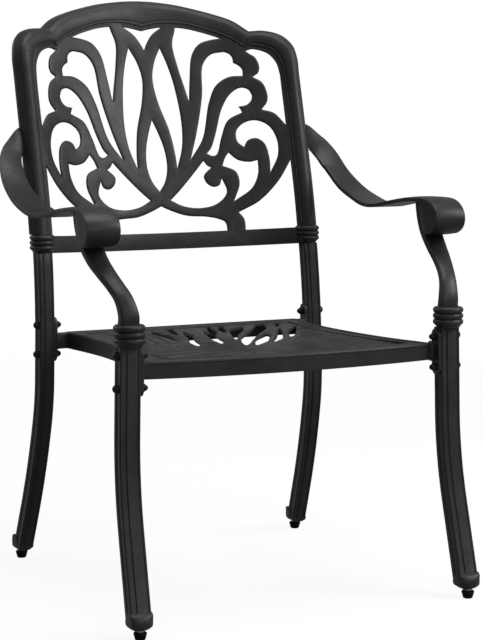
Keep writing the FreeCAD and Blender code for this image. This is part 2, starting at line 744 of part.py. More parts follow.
def make_back(collars, legs):
    crest = make_crest()
    post = make_post(crest)
    mirror = post.mirror(Vector(), Vector(1, 0, 0))
    rail = make_rail()
    rail = rail.cut([item.Shape for item in collars + legs])
    rail = one_solid(rail, "back_lower_rail")
    local_rail = rail.copy()
    local_rail.transformShape(BACK_FRAME.inverse().toMatrix())
    panel = make_panel(crest, [post, mirror], local_rail)
    feature("crest_rail", crest, BACK_FRAME)
    feature("back_post_right", post, BACK_FRAME)
    feature("back_post_left", mirror, BACK_FRAME)
    feature("back_panel", panel, BACK_FRAME)
    feature("back_lower_rail", rail)
    placed = []
    for shape in (post, mirror):
        copy = shape.copy()
        copy.transformShape(BACK_FRAME.toMatrix())
        placed.append(copy)
    return placed


# Arms: heights are above the floor and y is behind the front legs

def edges(x, y, z, width, crown=0):
    """A level station of a ribbon: its outer and inner edge, from its middle's height."""
    return (x + width / 2, y, z - crown), (x - width / 2, y, z - crown)


def ribbon(stations, crown):
    """A bar through stations of (outer edge, inner edge, thickness); its top is crowned."""
    base = Vector(0, size("front_leg_y"), 0)
    pairs = [(base + Vector(*outer), base + Vector(*inner)) for outer, inner, depth in stations]
    middles = [(outer + inner) / 2 for outer, inner in pairs]
    path = Part.BSplineCurve()
    path.interpolate(Points=middles)
    sections = []
    for middle, (outer, inner), station in zip(middles, pairs, stations):
        along = path.tangent(path.parameter(middle))[0]
        up = along.cross(outer - inner).normalize()
        under = up * (crown - station[2])
        top = Part.Arc(outer, middle + up * crown, inner).toShape()
        corners = [inner, inner + under, outer + under, outer]
        rest = [Part.LineSegment(corners[i], corners[i + 1]).toShape() for i in range(3)]
        sections.append(Part.Wire([top] + rest))
    return Part.makeLoft(sections, True, False)


# The ribbon's outer and inner edge, from the post's outer side down to the level run
ARM_TWIST = [
    ((252, 473.5, 727), (252, 459.5, 684)),
    ((264, 468.5, 720), (261, 455.5, 679)),
    ((275.6, 462.5, 710), (263.5, 453, 675.5)),
    ((286, 457.3, 700), (265.5, 449.5, 672)),
    ((296, 450, 689), (267.3, 444.5, 668)),
    ((303.5, 441.5, 677), (269, 436.5, 662)),
    ((308, 431.5, 665), (270.6, 426.5, 654)),
]
# Middle of the level run and its width
ARM_RUN = [
    (292.4, 411.5, 646.5, 40),
    (293.7, 391.5, 633.4, 42),
    (294, 351.5, 614.9, 46),
    (293.5, 311.5, 603.4, 49),
    (290.5, 256.5, 595.3, 51.5),
    (289, 208.5, 599.6, 51.5),
    (288.7, 156.5, 607.7, 51.5),
    (288.7, 116, 611.9, 51.5),
]
# Middle of the support, its width and its thickness, from the collar up
SUPPORT_RUN = [
    (265, -4, 438, 29, 18),
    (265.3, -4.5, 462, 28, 17),
    (269.5, 4.5, 485, 25, 15),
    (275.3, 21, 502, 24, 13.5),
    (281, 43, 519, 24, 13.5),
    (285.2, 65, 536, 24, 13.5),
    (287.8, 90, 559, 24, 13.5),
    (289.5, 106, 583, 24, 13.5),
    (291, 114.2, 607, 24, 13.5),
]


def arm_stations():
    """From the post along the level run and round the curl at the front."""
    thickness, crown = size("arm_thickness"), size("arm_crown")
    run = ARM_TWIST + [edges(*station, crown) for station in ARM_RUN]
    turns = 9
    for i in range(turns):
        angle = math.radians(90 + size("curl_turn") * i / (turns - 1))
        ahead, rise = -math.cos(angle), math.sin(angle)
        tall = size("scroll_rise")
        if rise < 0:
            power = 2 / size("scroll_squareness")
            ahead, rise = abs(ahead) ** power, -abs(rise) ** power
            tall = size("scroll_drop")
        run.append(edges(size("arm_x"),
                         size("scroll_centre_behind") - (size("scroll_half_length") - crown) * ahead,
                         size("scroll_centre_height") + (tall - crown) * rise,
                         size("arm_width")))
    return [(outer, inner, thickness) for outer, inner in run]


def make_support():
    stations = []
    for i, (x, y, z, width, thickness) in enumerate(SUPPORT_RUN):
        before = SUPPORT_RUN[max(i - 1, 0)]
        after = SUPPORT_RUN[min(i + 1, len(SUPPORT_RUN) - 1)]
        along = Vector(0, before[1] - after[1], before[2] - after[2]).normalize()
        half = thickness / 2 - size("support_crown")
        stations.append((*edges(x, y + along.z * half, z - along.y * half, width), thickness))
    bar = ribbon(stations[::-1], size("support_crown"))
    floor = Part.makeBox(1200, 1200, size("front_leg_top + front_collar_height"),
                         Vector(-600, -600, 0))
    return bar.cut(floor)


def make_arms(posts):
    """The support stands under the ribbon, and the curl's lip ends on its front."""
    support = make_support()
    stations, crown = arm_stations(), size("arm_crown")
    arm = ribbon(stations, crown).cut(posts)
    below = Part.makeBox(1200, 1200, size("scroll_centre_height"), Vector(-600, -600, 0))
    arm = one_solid(arm.cut(support.common(below)), "armrest")
    beyond = Vector(size("arm_width") / 2, 0, 0)
    wider = [(Vector(*outer) + beyond, Vector(*inner) - beyond, thickness)
             for outer, inner, thickness in stations[10:19]]
    support = one_solid(support.cut(ribbon(wider, crown)), "arm_support")
    for side_name, side in SIDES:
        for name, shape in (("armrest", arm), ("arm_support", support)):
            if side < 0:
                shape = shape.mirror(Vector(), Vector(1, 0, 0))
            feature(f"{name}_{side_name}", shape)


# Seat

def seat_outline(inset):
    """Plan of the seat, drawn in from its edge by the inset."""
    front = size("front_leg_y - seat_front") + inset
    rear = size("front_leg_y + leg_spacing - seat_rear") - inset
    sag = size("seat_front_sag")
    wide, waist, narrow = (size(f"seat_{n}_half") - inset for n in ("front", "waist", "rear"))
    length = rear - front - sag
    corner = Vector(wide, front + sag, 0)
    edge = Part.Arc(Vector(-wide, front + sag, 0), Vector(0, front, 0), corner).toShape()
    right = Part.BSplineCurve()
    right.interpolate(Points=[
        corner,
        Vector(waist + (wide - waist) * 0.42, front + sag + length * 0.22, 0),
        Vector(waist + (wide - waist) * 0.05, front + sag + length * 0.52, 0),
        Vector(waist, front + sag + length * 0.71, 0),
        Vector(narrow, rear, 0),
    ])
    right = right.toShape()
    left = right.mirror(Vector(), Vector(1, 0, 0))
    back = Part.LineSegment(Vector(narrow, rear, 0), Vector(-narrow, rear, 0)).toShape()
    return Part.Wire(Part.__sortEdges__([edge, right, back, left]))


def raised(wire, low, high):
    solid = Part.Face(wire).extrude(Vector(0, 0, high - low))
    solid.translate(Vector(0, 0, low))
    return solid


def seat_block(low, high, inset=0):
    return raised(seat_outline(inset), low, high)


def sloped(shape):
    """The seat's pieces are drawn level and tipped back about the front edge."""
    pivot = Vector(0, size("front_leg_y - seat_front"), size("seat_top"))
    return shape.copy().rotate(pivot, Vector(1, 0, 0), -size("seat_slope"))


def seat_ear(end, side, bottom, top):
    """Neck from the apron to a lug, flared where it meets the lug's plate."""
    spot = leg_frame(end, side).Base
    face = abs(spot.x) - size(f"{end}_leg_width / 2 + lug_thickness")
    root = size(f"seat_{end}_half") - 14
    flare, width, front = 1, 14, spot.y - 11
    if end == "front":
        corner = size("front_leg_y - seat_front + seat_front_sag")
        flare, width, front = 3, 14, corner
    tip, curve = face + 3, flare * (1 - math.sqrt(0.5))
    upper = [(face - flare, top), (face - curve, top + curve), (face, top + flare)]
    lower = [(face, bottom - flare), (face - curve, bottom - curve), (face - flare, bottom)]
    arcs = [Part.Arc(*(Vector(side * x, front, z) for x, z in run)) for run in (upper, lower)]
    chain = [upper[-1], (tip, top + flare), (tip, bottom - flare), lower[0]]
    rest = [lower[-1], (root, bottom), (root, top), upper[0]]
    edges = [arc.toShape() for arc in arcs]
    for run in (chain, rest):
        ends = [Vector(side * x, front, z) for x, z in run]
        edges += [Part.LineSegment(a, b).toShape() for a, b in zip(ends, ends[1:])]
    outline = Part.Wire(Part.__sortEdges__(edges))
    return Part.Face(outline).extrude(Vector(0, width, 0))


def make_seat(lugs, legs):
    top = size("seat_top")
    bottom = top - size("apron_height")
    rim = seat_block(bottom, top)
    rim = rim.cut(seat_block(bottom, top - size("frame_thickness"), size("apron_wall")))
    rim = rim.cut(seat_block(bottom - 1, top + 1, size("frame_width")))
    bead = seat_block(top, top + size("bead_height"), size("bead_inset"))
    bead = bead.cut(seat_block(top, top + size("bead_height") + 1,
                               size("bead_inset + bead_width")))
    ears = [seat_ear(end, side, bottom, top) for end in LEGS for side in (-1, 1)]
    rim = rim.multiFuse([bead] + ears)
    rim = sloped(rim).cut([item.Shape for item in lugs + legs])
    rim = one_solid(rim, "seat_rim")
    panel_top = top - size("grille_drop")
    grille = seat_block(panel_top - size("grille_thickness"), panel_top, size("apron_wall"))
    holes = []
    for near, left, far, right in SEAT_HOLES:
        wire = strokes_wire([[near] + left, [far] + right],
                            lambda x, y: Vector(x, size("front_leg_y") + y, 0))
        holes.append(raised(wire, panel_top - 20, panel_top + 20))
    grille = one_solid(sloped(grille.cut(holes)).cut(rim), "seat_grille")
    feature("seat_rim", rim)
    feature("seat_grille", grille)


# Leaf-shaped seat holes as (x, y behind the front legs): near tip, left side, far tip, right side
SEAT_HOLES = [
    ((-84, 221), [(-89, 269), (-90, 319)], (-74, 371), [(-62, 339), (-72, 269)]),
    ((-58, 295), [(-54, 329), (-46, 369)], (-34, 411), [(-34, 374), (-45, 329)]),
    ((-88, 151), [(-76, 204), (-64, 239), (-54, 266), (-41, 309)], (-28, 347),
     [(-28, 304), (-42, 273), (-55, 233), (-65, 194)]),
    ((-39, 169), [(-32, 214), (-24, 244), (-18, 266), (-8, 301)], (6, 339),
     [(8, 301), (2, 281), (-8, 247), (-18, 209)]),
    ((8, 295), [(10, 321), (20, 354)], (36, 389), [(30, 349), (21, 317)]),
    ((26, 301), [(32, 331), (44, 365)], (62, 397), [(54, 361), (41, 325)]),
    ((4, 207), [(12, 234), (24, 266), (40, 309), (56, 344)], (90, 371),
     [(76, 334), (54, 299), (37, 271), (20, 239)]),
    ((-13, 135), [(-6, 161), (10, 201), (26, 235), (46, 265), (68, 299), (100, 347)], (138, 407),
     [(130, 361), (108, 319), (86, 288), (66, 259), (44, 224), (22, 189), (4, 159)]),
    ((2, 130), [(18, 167), (31, 194), (50, 222)], (84, 261), [(76, 233), (61, 207), (48, 183), (28, 156)]),
    ((46, 155), [(63, 192), (80, 218), (95, 245), (112, 277)], (136, 321),
     [(126, 291), (111, 259), (93, 222), (74, 190)]),
    ((98, 204), [(114, 240), (126, 265), (146, 299)], (176, 339), [(158, 301), (138, 266), (116, 226)]),
    ((140, 339), [(144, 354)], (164, 389), [(156, 361)]),
]


# Seat fixings

def make_lug(end, side_name, side):
    name = f"seat_lug_{end}_{side_name}"
    body = new_body(name + "_casting")
    sketch = new_sketch(body, name + "_outline", "YZ_Plane")
    half, tall = "lug_width / 2", "lug_height / 2"
    draw(sketch, [
        (f"-{half}", f"-({tall} - {half})"),
        ("0", f"-{tall}", half, 1),
        (half, f"-({tall} - {half})", half, 1),
        (half, f"{tall} - {half}"),
        ("0", tall, half, 1),
        (f"-{half}", f"{tall} - {half}", half, 1),
    ])
    pad = body.newObject("PartDesign::Pad", name + "_plate")
    pad.Profile = sketch
    pad.Reversed = side > 0
    bind(pad, {"Length": "lug_thickness"})
    offset = Vector(-side * size(f"{end}_leg_width") / 2, 0,
                    size("lug_centre") - size(LEGS[end]["z"]))
    place = leg_frame(end, side)
    body.Placement = place.multiply(Placement(offset, Rotation()))
    tools = []
    for level, sign in (("lower", -1), ("upper", 1)):
        hole = doc.addObject("Part::Cylinder", f"{name}_{level}_hole")
        bind(hole, {"Radius": "bolt_diameter / 2 + bolt_clearance",
                    "Height": "lug_thickness + 4"})
        reach = -size(f"{end}_leg_width / 2 + lug_thickness") - 2
        hole.Placement = leg_frame(end, side).multiply(bolt_place(end, side, sign, reach))
        tools.append(hole)
    holes = doc.addObject("Part::MultiFuse", name + "_holes")
    holes.Shapes = tools
    lug = doc.addObject("Part::Cut", name)
    lug.Base = body
    lug.Tool = holes
    return keep(lug, name)


def fixing(name, path):
    body = turned(name + "_blank", path)
    doc.recompute()
    return body.Shape.copy()


def make_fixings():
    """Eight bolts, washers and cap nuts; each kind is one group of solids."""
    groups = {"seat_bolts": [], "seat_washers": [], "seat_cap_nuts": []}
    washer = fixing("washer", [
        ("bolt_diameter / 2 + bolt_clearance", "0"), ("washer_diameter / 2", "0"),
        ("washer_diameter / 2", "washer_thickness"),
        ("bolt_diameter / 2 + bolt_clearance", "washer_thickness")])
    dome = "((bolt_head_diameter / 2) ^ 2 + (bolt_head_height - 1) ^ 2) / (2 * (bolt_head_height - 1))"
    for end in LEGS:
        grip = f"({end}_leg_width + lug_thickness + washer_thickness)"
        bolt = fixing(f"{end}_bolt", [
            ("0", f"-{grip} - nut_hexagon"),
            ("bolt_diameter / 2", f"-{grip} - nut_hexagon"),
            ("bolt_diameter / 2", "0"),
            ("bolt_head_diameter / 2", "0"),
            ("bolt_head_diameter / 2", "1"),
            ("0", "bolt_head_height", dome, 1)])
        for side_name, side in SIDES:
            for sign in (-1, 1):
                outer = size(f"{end}_leg_width") / 2
                place = leg_frame(end, side)
                head = place.multiply(bolt_place(end, side, sign, outer))
                copy = bolt.copy()
                copy.Placement = head
                groups["seat_bolts"].append(copy)
                inner = -outer - size("lug_thickness + washer_thickness")
                copy = washer.copy()
                copy.Placement = leg_frame(end, side).multiply(
                    bolt_place(end, side, sign, inner))
                groups["seat_washers"].append(copy)
                copy = cap_nut()
                copy.Placement = leg_frame(end, side).multiply(
                    bolt_place(end, side, sign, inner))
                groups["seat_cap_nuts"].append(copy)
    for name, shapes in groups.items():
        feature(name, Part.makeCompound(shapes))


def cap_nut():
    """Hexagon and dome pointing down its own Z axis, hollow for the bolt's end."""
    flats = size("nut_across_flats")
    corner = flats / math.sqrt(3)
    hexagon = Part.makePolygon([
        Vector(corner * math.cos(math.radians(60 * i)), corner * math.sin(math.radians(60 * i)), 0)
        for i in range(7)])
    nut = Part.Face(hexagon).extrude(Vector(0, 0, -size("nut_hexagon")))
    rise, half = size("nut_dome"), flats / 2 - 0.4
    radius = (half ** 2 + rise ** 2) / (2 * rise)
    ball = Part.makeSphere(radius, Vector(0, 0, -size("nut_hexagon") - rise + radius))
    slab = Part.makeCylinder(half, rise, Vector(0, 0, -size("nut_hexagon")), Vector(0, 0, -1))
    nut = nut.fuse(ball.common(slab))
    bore = Part.makeCylinder(size("bolt_diameter / 2"), size("nut_hexagon"), Vector(),
                             Vector(0, 0, -1))
    return nut.cut(bore).removeSplitter()


def build():
    legs, lugs, collars = [], [], {"front": [], "rear": []}
    for end in LEGS:
        for side_name, side in SIDES:
            legs.append(make_leg(end, side_name, side))
            lugs.append(make_lug(end, side_name, side))
            collars[end].append(make_collar(end, side_name, side))
            make_glide(end, side_name, side)
    doc.recompute()
    posts = make_back(collars["rear"], legs)
    make_arms(posts)
    make_seat(lugs, legs)
    make_fixings()
    doc.recompute()


def write():
    os.makedirs("parts", exist_ok=True)
    for item in doc.Objects:
        faults = {"Invalid", "Error"} & set(item.State)
        if faults:
            raise RuntimeError(f"{item.Name} is {faults}")
    for part in parts:
        if part.Shape.isNull() or not part.Shape.isValid() or part.Shape.Volume < 1:
            raise RuntimeError(f"{part.Label} has no valid shape")
    for part in parts:
        part.Shape.exportStep(f"parts/{part.Label}.step")
    box = Part.makeCompound([part.Shape for part in parts]).BoundBox
    print(len(parts), "sub-parts", [round(v, 2) for v in (
        box.XMin, box.XMax, box.YMin, box.YMax, box.ZMin, box.ZMax)])


build()
write()
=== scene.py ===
"""Cast garden armchair: black powder-coated castings, painted fixings, levelling glides.

Lengths in the tables are millimetres in the chair's own frame; the scene is in metres.
"""
import bmesh
import bpy
import math
import numpy as np
from mathutils import Matrix, Vector, geometry


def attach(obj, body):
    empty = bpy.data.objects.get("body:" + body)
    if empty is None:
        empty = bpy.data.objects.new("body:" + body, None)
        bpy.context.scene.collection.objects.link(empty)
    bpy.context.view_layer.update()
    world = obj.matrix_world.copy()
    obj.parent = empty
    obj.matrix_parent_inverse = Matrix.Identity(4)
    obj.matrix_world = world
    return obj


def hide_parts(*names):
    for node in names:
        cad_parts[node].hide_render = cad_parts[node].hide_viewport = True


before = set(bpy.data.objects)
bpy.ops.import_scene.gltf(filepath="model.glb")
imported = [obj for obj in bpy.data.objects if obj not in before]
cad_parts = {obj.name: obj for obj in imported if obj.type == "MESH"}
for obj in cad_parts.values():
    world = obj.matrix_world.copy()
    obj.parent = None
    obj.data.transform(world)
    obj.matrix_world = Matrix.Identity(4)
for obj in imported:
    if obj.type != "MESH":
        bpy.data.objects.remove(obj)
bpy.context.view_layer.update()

MM = 0.001
SIDES = (("left", -1), ("right", 1))
ENDS = ("front", "rear")


# Shader expressions

class Shade:
    """The node tree of a material or a world; every node comes from its one method."""

    def __init__(self, owner):
        owner.use_nodes = True
        self.owner = owner
        self.tree = owner.node_tree
        self.tree.nodes.clear()

    def node(self, kind, settings=None, **sockets):
        """Add a node; a socket is named with _ for spaces, or as i and its number."""
        made = self.tree.nodes.new(kind)
        for key, value in (settings or {}).items():
            setattr(made, key, value)
        for key, value in sockets.items():
            numbered = key[0] == "i" and key[1:].isdigit()
            socket = made.inputs[int(key[1:]) if numbered else key.replace("_", " ")]
            if isinstance(value, Value):
                self.tree.links.new(value.socket, socket)
            elif value is not None:
                socket.default_value = value
        return made

    def value(self, made, output=0):
        return Value(self, made.outputs[output])

    def finish(self, shader):
        kind = "World" if isinstance(self.owner, bpy.types.World) else "Material"
        self.node(f"ShaderNodeOutput{kind}", i0=self.value(shader))
        return self.owner


class Value:
    """A socket that can be added, multiplied and compared in plain expressions."""

    def __init__(self, shade, socket):
        self.shade = shade
        self.socket = socket

    def math(self, operation, first, second=None):
        made = self.shade.node("ShaderNodeMath", {"operation": operation}, i0=first, i1=second)
        return self.shade.value(made)

    def __add__(self, other):
        return self.math("ADD", self, other)

    def __radd__(self, other):
        return self.math("ADD", other, self)

    def __sub__(self, other):
        return self.math("SUBTRACT", self, other)

    def __rsub__(self, other):
        return self.math("SUBTRACT", other, self)

    def __mul__(self, other):
        return self.math("MULTIPLY", self, other)

    def __rmul__(self, other):
        return self.math("MULTIPLY", other, self)

    def length(self):
        made = self.shade.node("ShaderNodeVectorMath", {"operation": "LENGTH"}, i0=self)
        return self.shade.value(made, "Value")

    def above(self, low, high):
        """0 below low, 1 above high, smooth between."""
        made = self.shade.node("ShaderNodeMapRange", {"interpolation_type": "SMOOTHSTEP"},
                               Value=self, From_Min=low, From_Max=high)
        return self.shade.value(made)


def object_place(shade):
    return shade.value(shade.node("ShaderNodeTexCoord"), "Object")


def noise(shade, scale, detail=2.0, roughness=0.5, stretch=(1, 1, 1)):
    mapped = shade.node("ShaderNodeMapping", Vector=object_place(shade), Scale=stretch)
    made = shade.node("ShaderNodeTexNoise", Vector=shade.value(mapped), Scale=scale,
                      Detail=detail, Roughness=roughness)
    return shade.value(made)


def blend_colour(shade, mask, dark, light):
    made = shade.node("ShaderNodeMix", {"data_type": "RGBA"}, Factor=mask,
                      A=(*dark, 1), B=(*light, 1))
    return shade.value(made, "Result")


def coated(name, dark, light, rough, sheen, cast_grain, peel):
    """Powder coat or paint over cast metal: cloudy tone, soft waviness, fine orange peel."""
    shade = Shade(bpy.data.materials.new(name))
    cloud = noise(shade, 9.0, 3.0, 0.55).above(0.35, 0.68)
    patch = noise(shade, 42.0, 2.0, 0.6).above(0.38, 0.66)
    colour = blend_colour(shade, cloud * 0.65 + patch * 0.35, dark, light)
    roughness = rough + 0.10 * noise(shade, 30.0, 3.0) - 0.06 * cloud
    sand = shade.node("ShaderNodeBump", Strength=0.35, Distance=cast_grain,
                      Height=noise(shade, 70.0))
    fine = shade.node("ShaderNodeBump", Strength=0.3, Distance=peel,
                      Height=noise(shade, 900.0), Normal=shade.value(sand))
    surface = shade.node("ShaderNodeBsdfPrincipled", Base_Color=colour, Roughness=roughness,
                         Specular_IOR_Level=sheen, Normal=shade.value(fine))
    return shade.finish(surface)


def zinc(name, colour):
    """Plated steel with fine turning marks round its own upright axis."""
    shade = Shade(bpy.data.materials.new(name))
    lines = noise(shade, 260.0, 3.0, 0.6, (0.15, 0.15, 6.0))
    spots = noise(shade, 160.0).above(0.4, 0.7)
    dull = tuple(0.6 * part for part in colour)
    bump = shade.node("ShaderNodeBump", Strength=0.3, Distance=0.0001, Height=lines)
    surface = shade.node("ShaderNodeBsdfPrincipled",
                         Base_Color=blend_colour(shade, spots, colour, dull),
                         Roughness=0.3 + 0.25 * lines, Metallic=1.0, Normal=shade.value(bump))
    return shade.finish(surface)


def moulded(name, dark, light):
    """Matt moulded plastic, scuffed where it rubs the floor."""
    shade = Shade(bpy.data.materials.new(name))
    speckle = noise(shade, 500.0, 3.0).above(0.35, 0.7)
    scuffed = noise(shade, 120.0, 4.0, 0.7).above(0.55, 0.75)
    bump = shade.node("ShaderNodeBump", Strength=0.25, Distance=0.0001,
                      Height=noise(shade, 1300.0))
    surface = shade.node("ShaderNodeBsdfPrincipled",
                         Base_Color=blend_colour(shade, speckle * 0.5 + scuffed * 0.5, dark, light),
                         Roughness=0.62 + 0.18 * scuffed, Specular_IOR_Level=0.06,
                         Normal=shade.value(bump))
    return shade.finish(surface)


CAST = coated("powder coated casting", (0.0150, 0.0133, 0.0150), (0.027, 0.0243, 0.027),
              0.40, 0.2, 0.0016, 0.00012)
PAINT = coated("black painted fixings", (0.006, 0.006, 0.007), (0.011, 0.0105, 0.012),
               0.36, 0.16, 0.0003, 0.00006)
INSERT_STEEL = zinc("zinc plated insert", (0.56, 0.56, 0.57))
STEM_STEEL = zinc("zinc plated screw", (0.50, 0.50, 0.52))
GLIDE = moulded("moulded glide", (0.0035, 0.0035, 0.004), (0.008, 0.008, 0.009))


# Mesh helpers

def new_object(name, mesh, material):
    piece = bpy.data.objects.new(name, mesh)
    bpy.context.scene.collection.objects.link(piece)
    mesh.materials.clear()
    mesh.materials.append(material)
    return piece


def settle(piece, angle=35):
    """Apply a piece's modifiers, then shade it smooth across all but its sharp edges."""
    bpy.context.view_layer.update()
    evaluated = piece.evaluated_get(bpy.context.evaluated_depsgraph_get())
    mesh = bpy.data.meshes.new_from_object(evaluated)
    piece.modifiers.clear()
    piece.data = mesh
    mesh.shade_smooth()
    mesh.set_sharp_from_angle(angle=math.radians(angle))
    return piece


def install(piece, body="chair", node=None):
    """Attach a piece to its body and hide the node that it stands for, if any."""
    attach(piece, body)
    if node:
        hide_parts(node)


def from_faces(name, points, faces, angle):
    """A casting from points in millimetres and faces, with its normals made to agree."""
    mesh = bpy.data.meshes.new(name)
    mesh.from_pydata([tuple(MM * c for c in p) for p in points], [], faces)
    shell = bmesh.new()
    shell.from_mesh(mesh)
    bmesh.ops.remove_doubles(shell, verts=shell.verts, dist=0.00001)
    bmesh.ops.recalc_face_normals(shell, faces=shell.faces)
    shell.to_mesh(mesh)
    shell.free()
    return settle(new_object(name, mesh, CAST), angle)


def tube(name, rings, ends=True):
    """A closed skin over rings of points, with a cap at each end."""
    count = len(rings[0])
    points = [p for ring in rings for p in ring]
    faces = []
    for start in range(0, len(points) - count, count):
        for j in range(count):
            k = (j + 1) % count
            faces.append((start + j, start + k, start + count + k, start + count + j))
    if ends:
        for start in (0, len(points) - count):
            faces.append(tuple(range(start, start + count)))
    return from_faces(name, points, faces, 35)


def merged_copy(node):
    """A node's triangles as one welded shell with its flat faces whole again."""
    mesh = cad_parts[node].data.copy()
    shell = bmesh.new()
    shell.from_mesh(mesh)
    bmesh.ops.remove_doubles(shell, verts=shell.verts, dist=0.00002)
    bmesh.ops.dissolve_limit(shell, angle_limit=math.radians(0.6), verts=shell.verts,
                             edges=shell.edges)
    shell.to_mesh(mesh)
    shell.free()
    return mesh


def eased(name, node, body, material, width, segments=3, change=None):
    """A node's own shape with its arrises rounded, as casting or turning leaves them."""
    mesh = merged_copy(node)
    if change:
        change(mesh)
    piece = new_object(name, mesh, material)
    bevel = piece.modifiers.new("rounded edges", "BEVEL")
    bevel.width = width * MM
    bevel.segments = segments
    bevel.limit_method = "ANGLE"
    bevel.angle_limit = math.radians(32)
    bevel.use_clamp_overlap = True
    bevel.harden_normals = False
    install(settle(piece), body, node)


# Curves and outlines

def curve_through(points, steps):
    """A smooth open line through the points, with so many steps between each two."""
    points = [np.array(p, float) for p in points]
    padded = [2 * points[0] - points[1]] + points + [2 * points[-1] - points[-2]]
    line = []
    for i in range(len(points) - 1):
        a, b, c, d = padded[i:i + 4]
        gaps = [max(np.linalg.norm(q - p), 1e-6) ** 0.5 for p, q in ((a, b), (b, c), (c, d))]
        t1, t2 = gaps[0], gaps[0] + gaps[1]
        t3 = t2 + gaps[2]
        for k in range(steps):
            t = t1 + (t2 - t1) * k / steps
            p = (t1 - t) / t1 * a + t / t1 * b
            q = (t2 - t) / (t2 - t1) * b + (t - t1) / (t2 - t1) * c
            r = (t3 - t) / (t3 - t2) * c + (t - t2) / (t3 - t2) * d
            u = (t2 - t) / t2 * p + t / t2 * q
            v = (t3 - t) / (t3 - t1) * q + (t - t1) / (t3 - t1) * r
            line.append((t2 - t) / (t2 - t1) * u + (t - t1) / (t2 - t1) * v)
    line.append(points[-1])
    return line


def evenly(line, gap):
    """The same line with points about a gap apart, its ends kept."""
    line = np.array(line)
    run = np.concatenate([[0], np.cumsum(np.linalg.norm(np.diff(line, axis=0), axis=1))])
    count = max(int(round(run[-1] / gap)), 1)
    spots = np.linspace(0, run[-1], count + 1)
    return np.stack([np.interp(spots, run, line[:, k]) for k in range(line.shape[1])], 1)


def loop_of(strokes, gap):
    """A closed outline: each stroke is smooth up to the first point of the next."""
    loop = []
    for i, stroke in enumerate(strokes):
        points = stroke + [strokes[(i + 1) % len(strokes)][0]]
        line = curve_through(points, 12) if len(points) > 2 else points
        loop.extend(evenly(line, gap)[:-1])
    return np.array(loop)


def flipped(strokes, ends):
    """Strokes mirrored and drawn the other way round; each one ran up to its own end."""
    return [[(-x, height) for x, height in reversed(stroke + [end])][:-1]
            for stroke, end in reversed(list(zip(strokes, ends)))]


def mirrored(strokes):
    return flipped(strokes, [stroke[0] for stroke in strokes[1:] + strokes[:1]])


def whole_edge(right):
    """The right half's strokes, from the middle round to the middle, and their mirror."""
    ends = [stroke[0] for stroke in right[1:]] + [(0, right[-1][-1][1])]
    return right + flipped(right, ends)


def rounded_run(points, radius, steps=4):
    """A closed polyline with its corners rounded; a point may carry its own radius."""
    out = []
    count = len(points)
    for i, point in enumerate(points):
        here = np.array(point[:2], float)
        own = point[2] if len(point) > 2 else radius
        before, after = (np.array(points[(i + s) % count][:2], float) for s in (-1, 1))
        first, second = before - here, after - here
        la, lb = np.linalg.norm(first), np.linalg.norm(second)
        cut = min(own, la / 2.05, lb / 2.05)
        if cut < 0.02:
            out.append(tuple(here))
            continue
        a, b = here + first / la * cut, here + second / lb * cut
        for k in range(steps + 1):
            t = k / steps
            out.append(tuple((1 - t) ** 2 * a + 2 * t * (1 - t) * here + t ** 2 * b))
    return out


def rounding(distance, radius):
    """How far a rounded edge falls back at a distance from the outline."""
    within = max(radius - distance, 0)
    return radius - math.sqrt(max(radius ** 2 - within ** 2, 0))


def ramp(value, low, high):
    return min(max((value - low) / (high - low), 0), 1)


# Plates with holes

CHUNK = 500
EDGE_ROWS = (0.5, 1.4, 3.2)
LATTICE_CLEAR = 4.4


def inside_count(spots, loops):
    """How many of the closed loops hold each spot, by crossings of a level line."""
    total = np.zeros(len(spots), int)
    for loop in loops:
        a, b = loop, np.roll(loop, -1, axis=0)
        slope = (b[:, 0] - a[:, 0]) / np.where(b[:, 1] == a[:, 1], 1e-9, b[:, 1] - a[:, 1])
        for k in range(0, len(spots), CHUNK):
            x, y = spots[k:k + CHUNK].T[:, :, None]
            cross = (a[:, 1] > y) != (b[:, 1] > y)
            left = x < a[:, 0] + slope * (y - a[:, 1])
            total[k:k + CHUNK] += np.sum(cross & left, axis=1) % 2
    return total


def distance_to(spots, loops):
    """Each spot's distance to the nearest outline."""
    a = np.concatenate(loops)
    b = np.concatenate([np.roll(loop, -1, axis=0) for loop in loops])
    run = b - a
    square = np.maximum((run ** 2).sum(1), 1e-12)
    best = np.empty(len(spots))
    for k in range(0, len(spots), CHUNK):
        part = spots[k:k + CHUNK][:, None, :]
        t = np.clip(((part - a) * run).sum(2) / square, 0, 1)
        near = a + run * t[..., None]
        best[k:k + CHUNK] = np.sqrt(((part - near) ** 2).sum(2)).min(1)
    return best


def on_plate(spots, outer, holes):
    return (inside_count(spots, [outer]) == 1) & (inside_count(spots, holes) == 0)


def plate_spots(loops, grid):
    """Points between the outlines: rows along every edge and a lattice farther in."""
    rows = []
    for loop in loops:
        ahead = np.roll(loop, -1, axis=0) - np.roll(loop, 1, axis=0)
        side = np.stack([-ahead[:, 1], ahead[:, 0]], 1)
        side /= np.maximum(np.linalg.norm(side, axis=1), 1e-9)[:, None]
        for reach in EDGE_ROWS:
            for sign in (-1, 1):
                spots = loop + sign * reach * side
                rows.append(np.column_stack([spots, np.full(len(spots), reach)]))
    low, high = loops[0].min(0), loops[0].max(0)
    xs = np.arange(low[0], high[0], grid)
    ys = np.arange(low[1], high[1], grid * 0.866)
    rows.append([(x + (j % 2) * grid / 2, y, LATTICE_CLEAR) for j, y in enumerate(ys) for x in xs])
    spots = np.concatenate(rows)
    spots = spots[on_plate(spots[:, :2], loops[0], loops[1:])]
    return spots[distance_to(spots[:, :2], loops) > 0.93 * spots[:, 2]][:, :2]


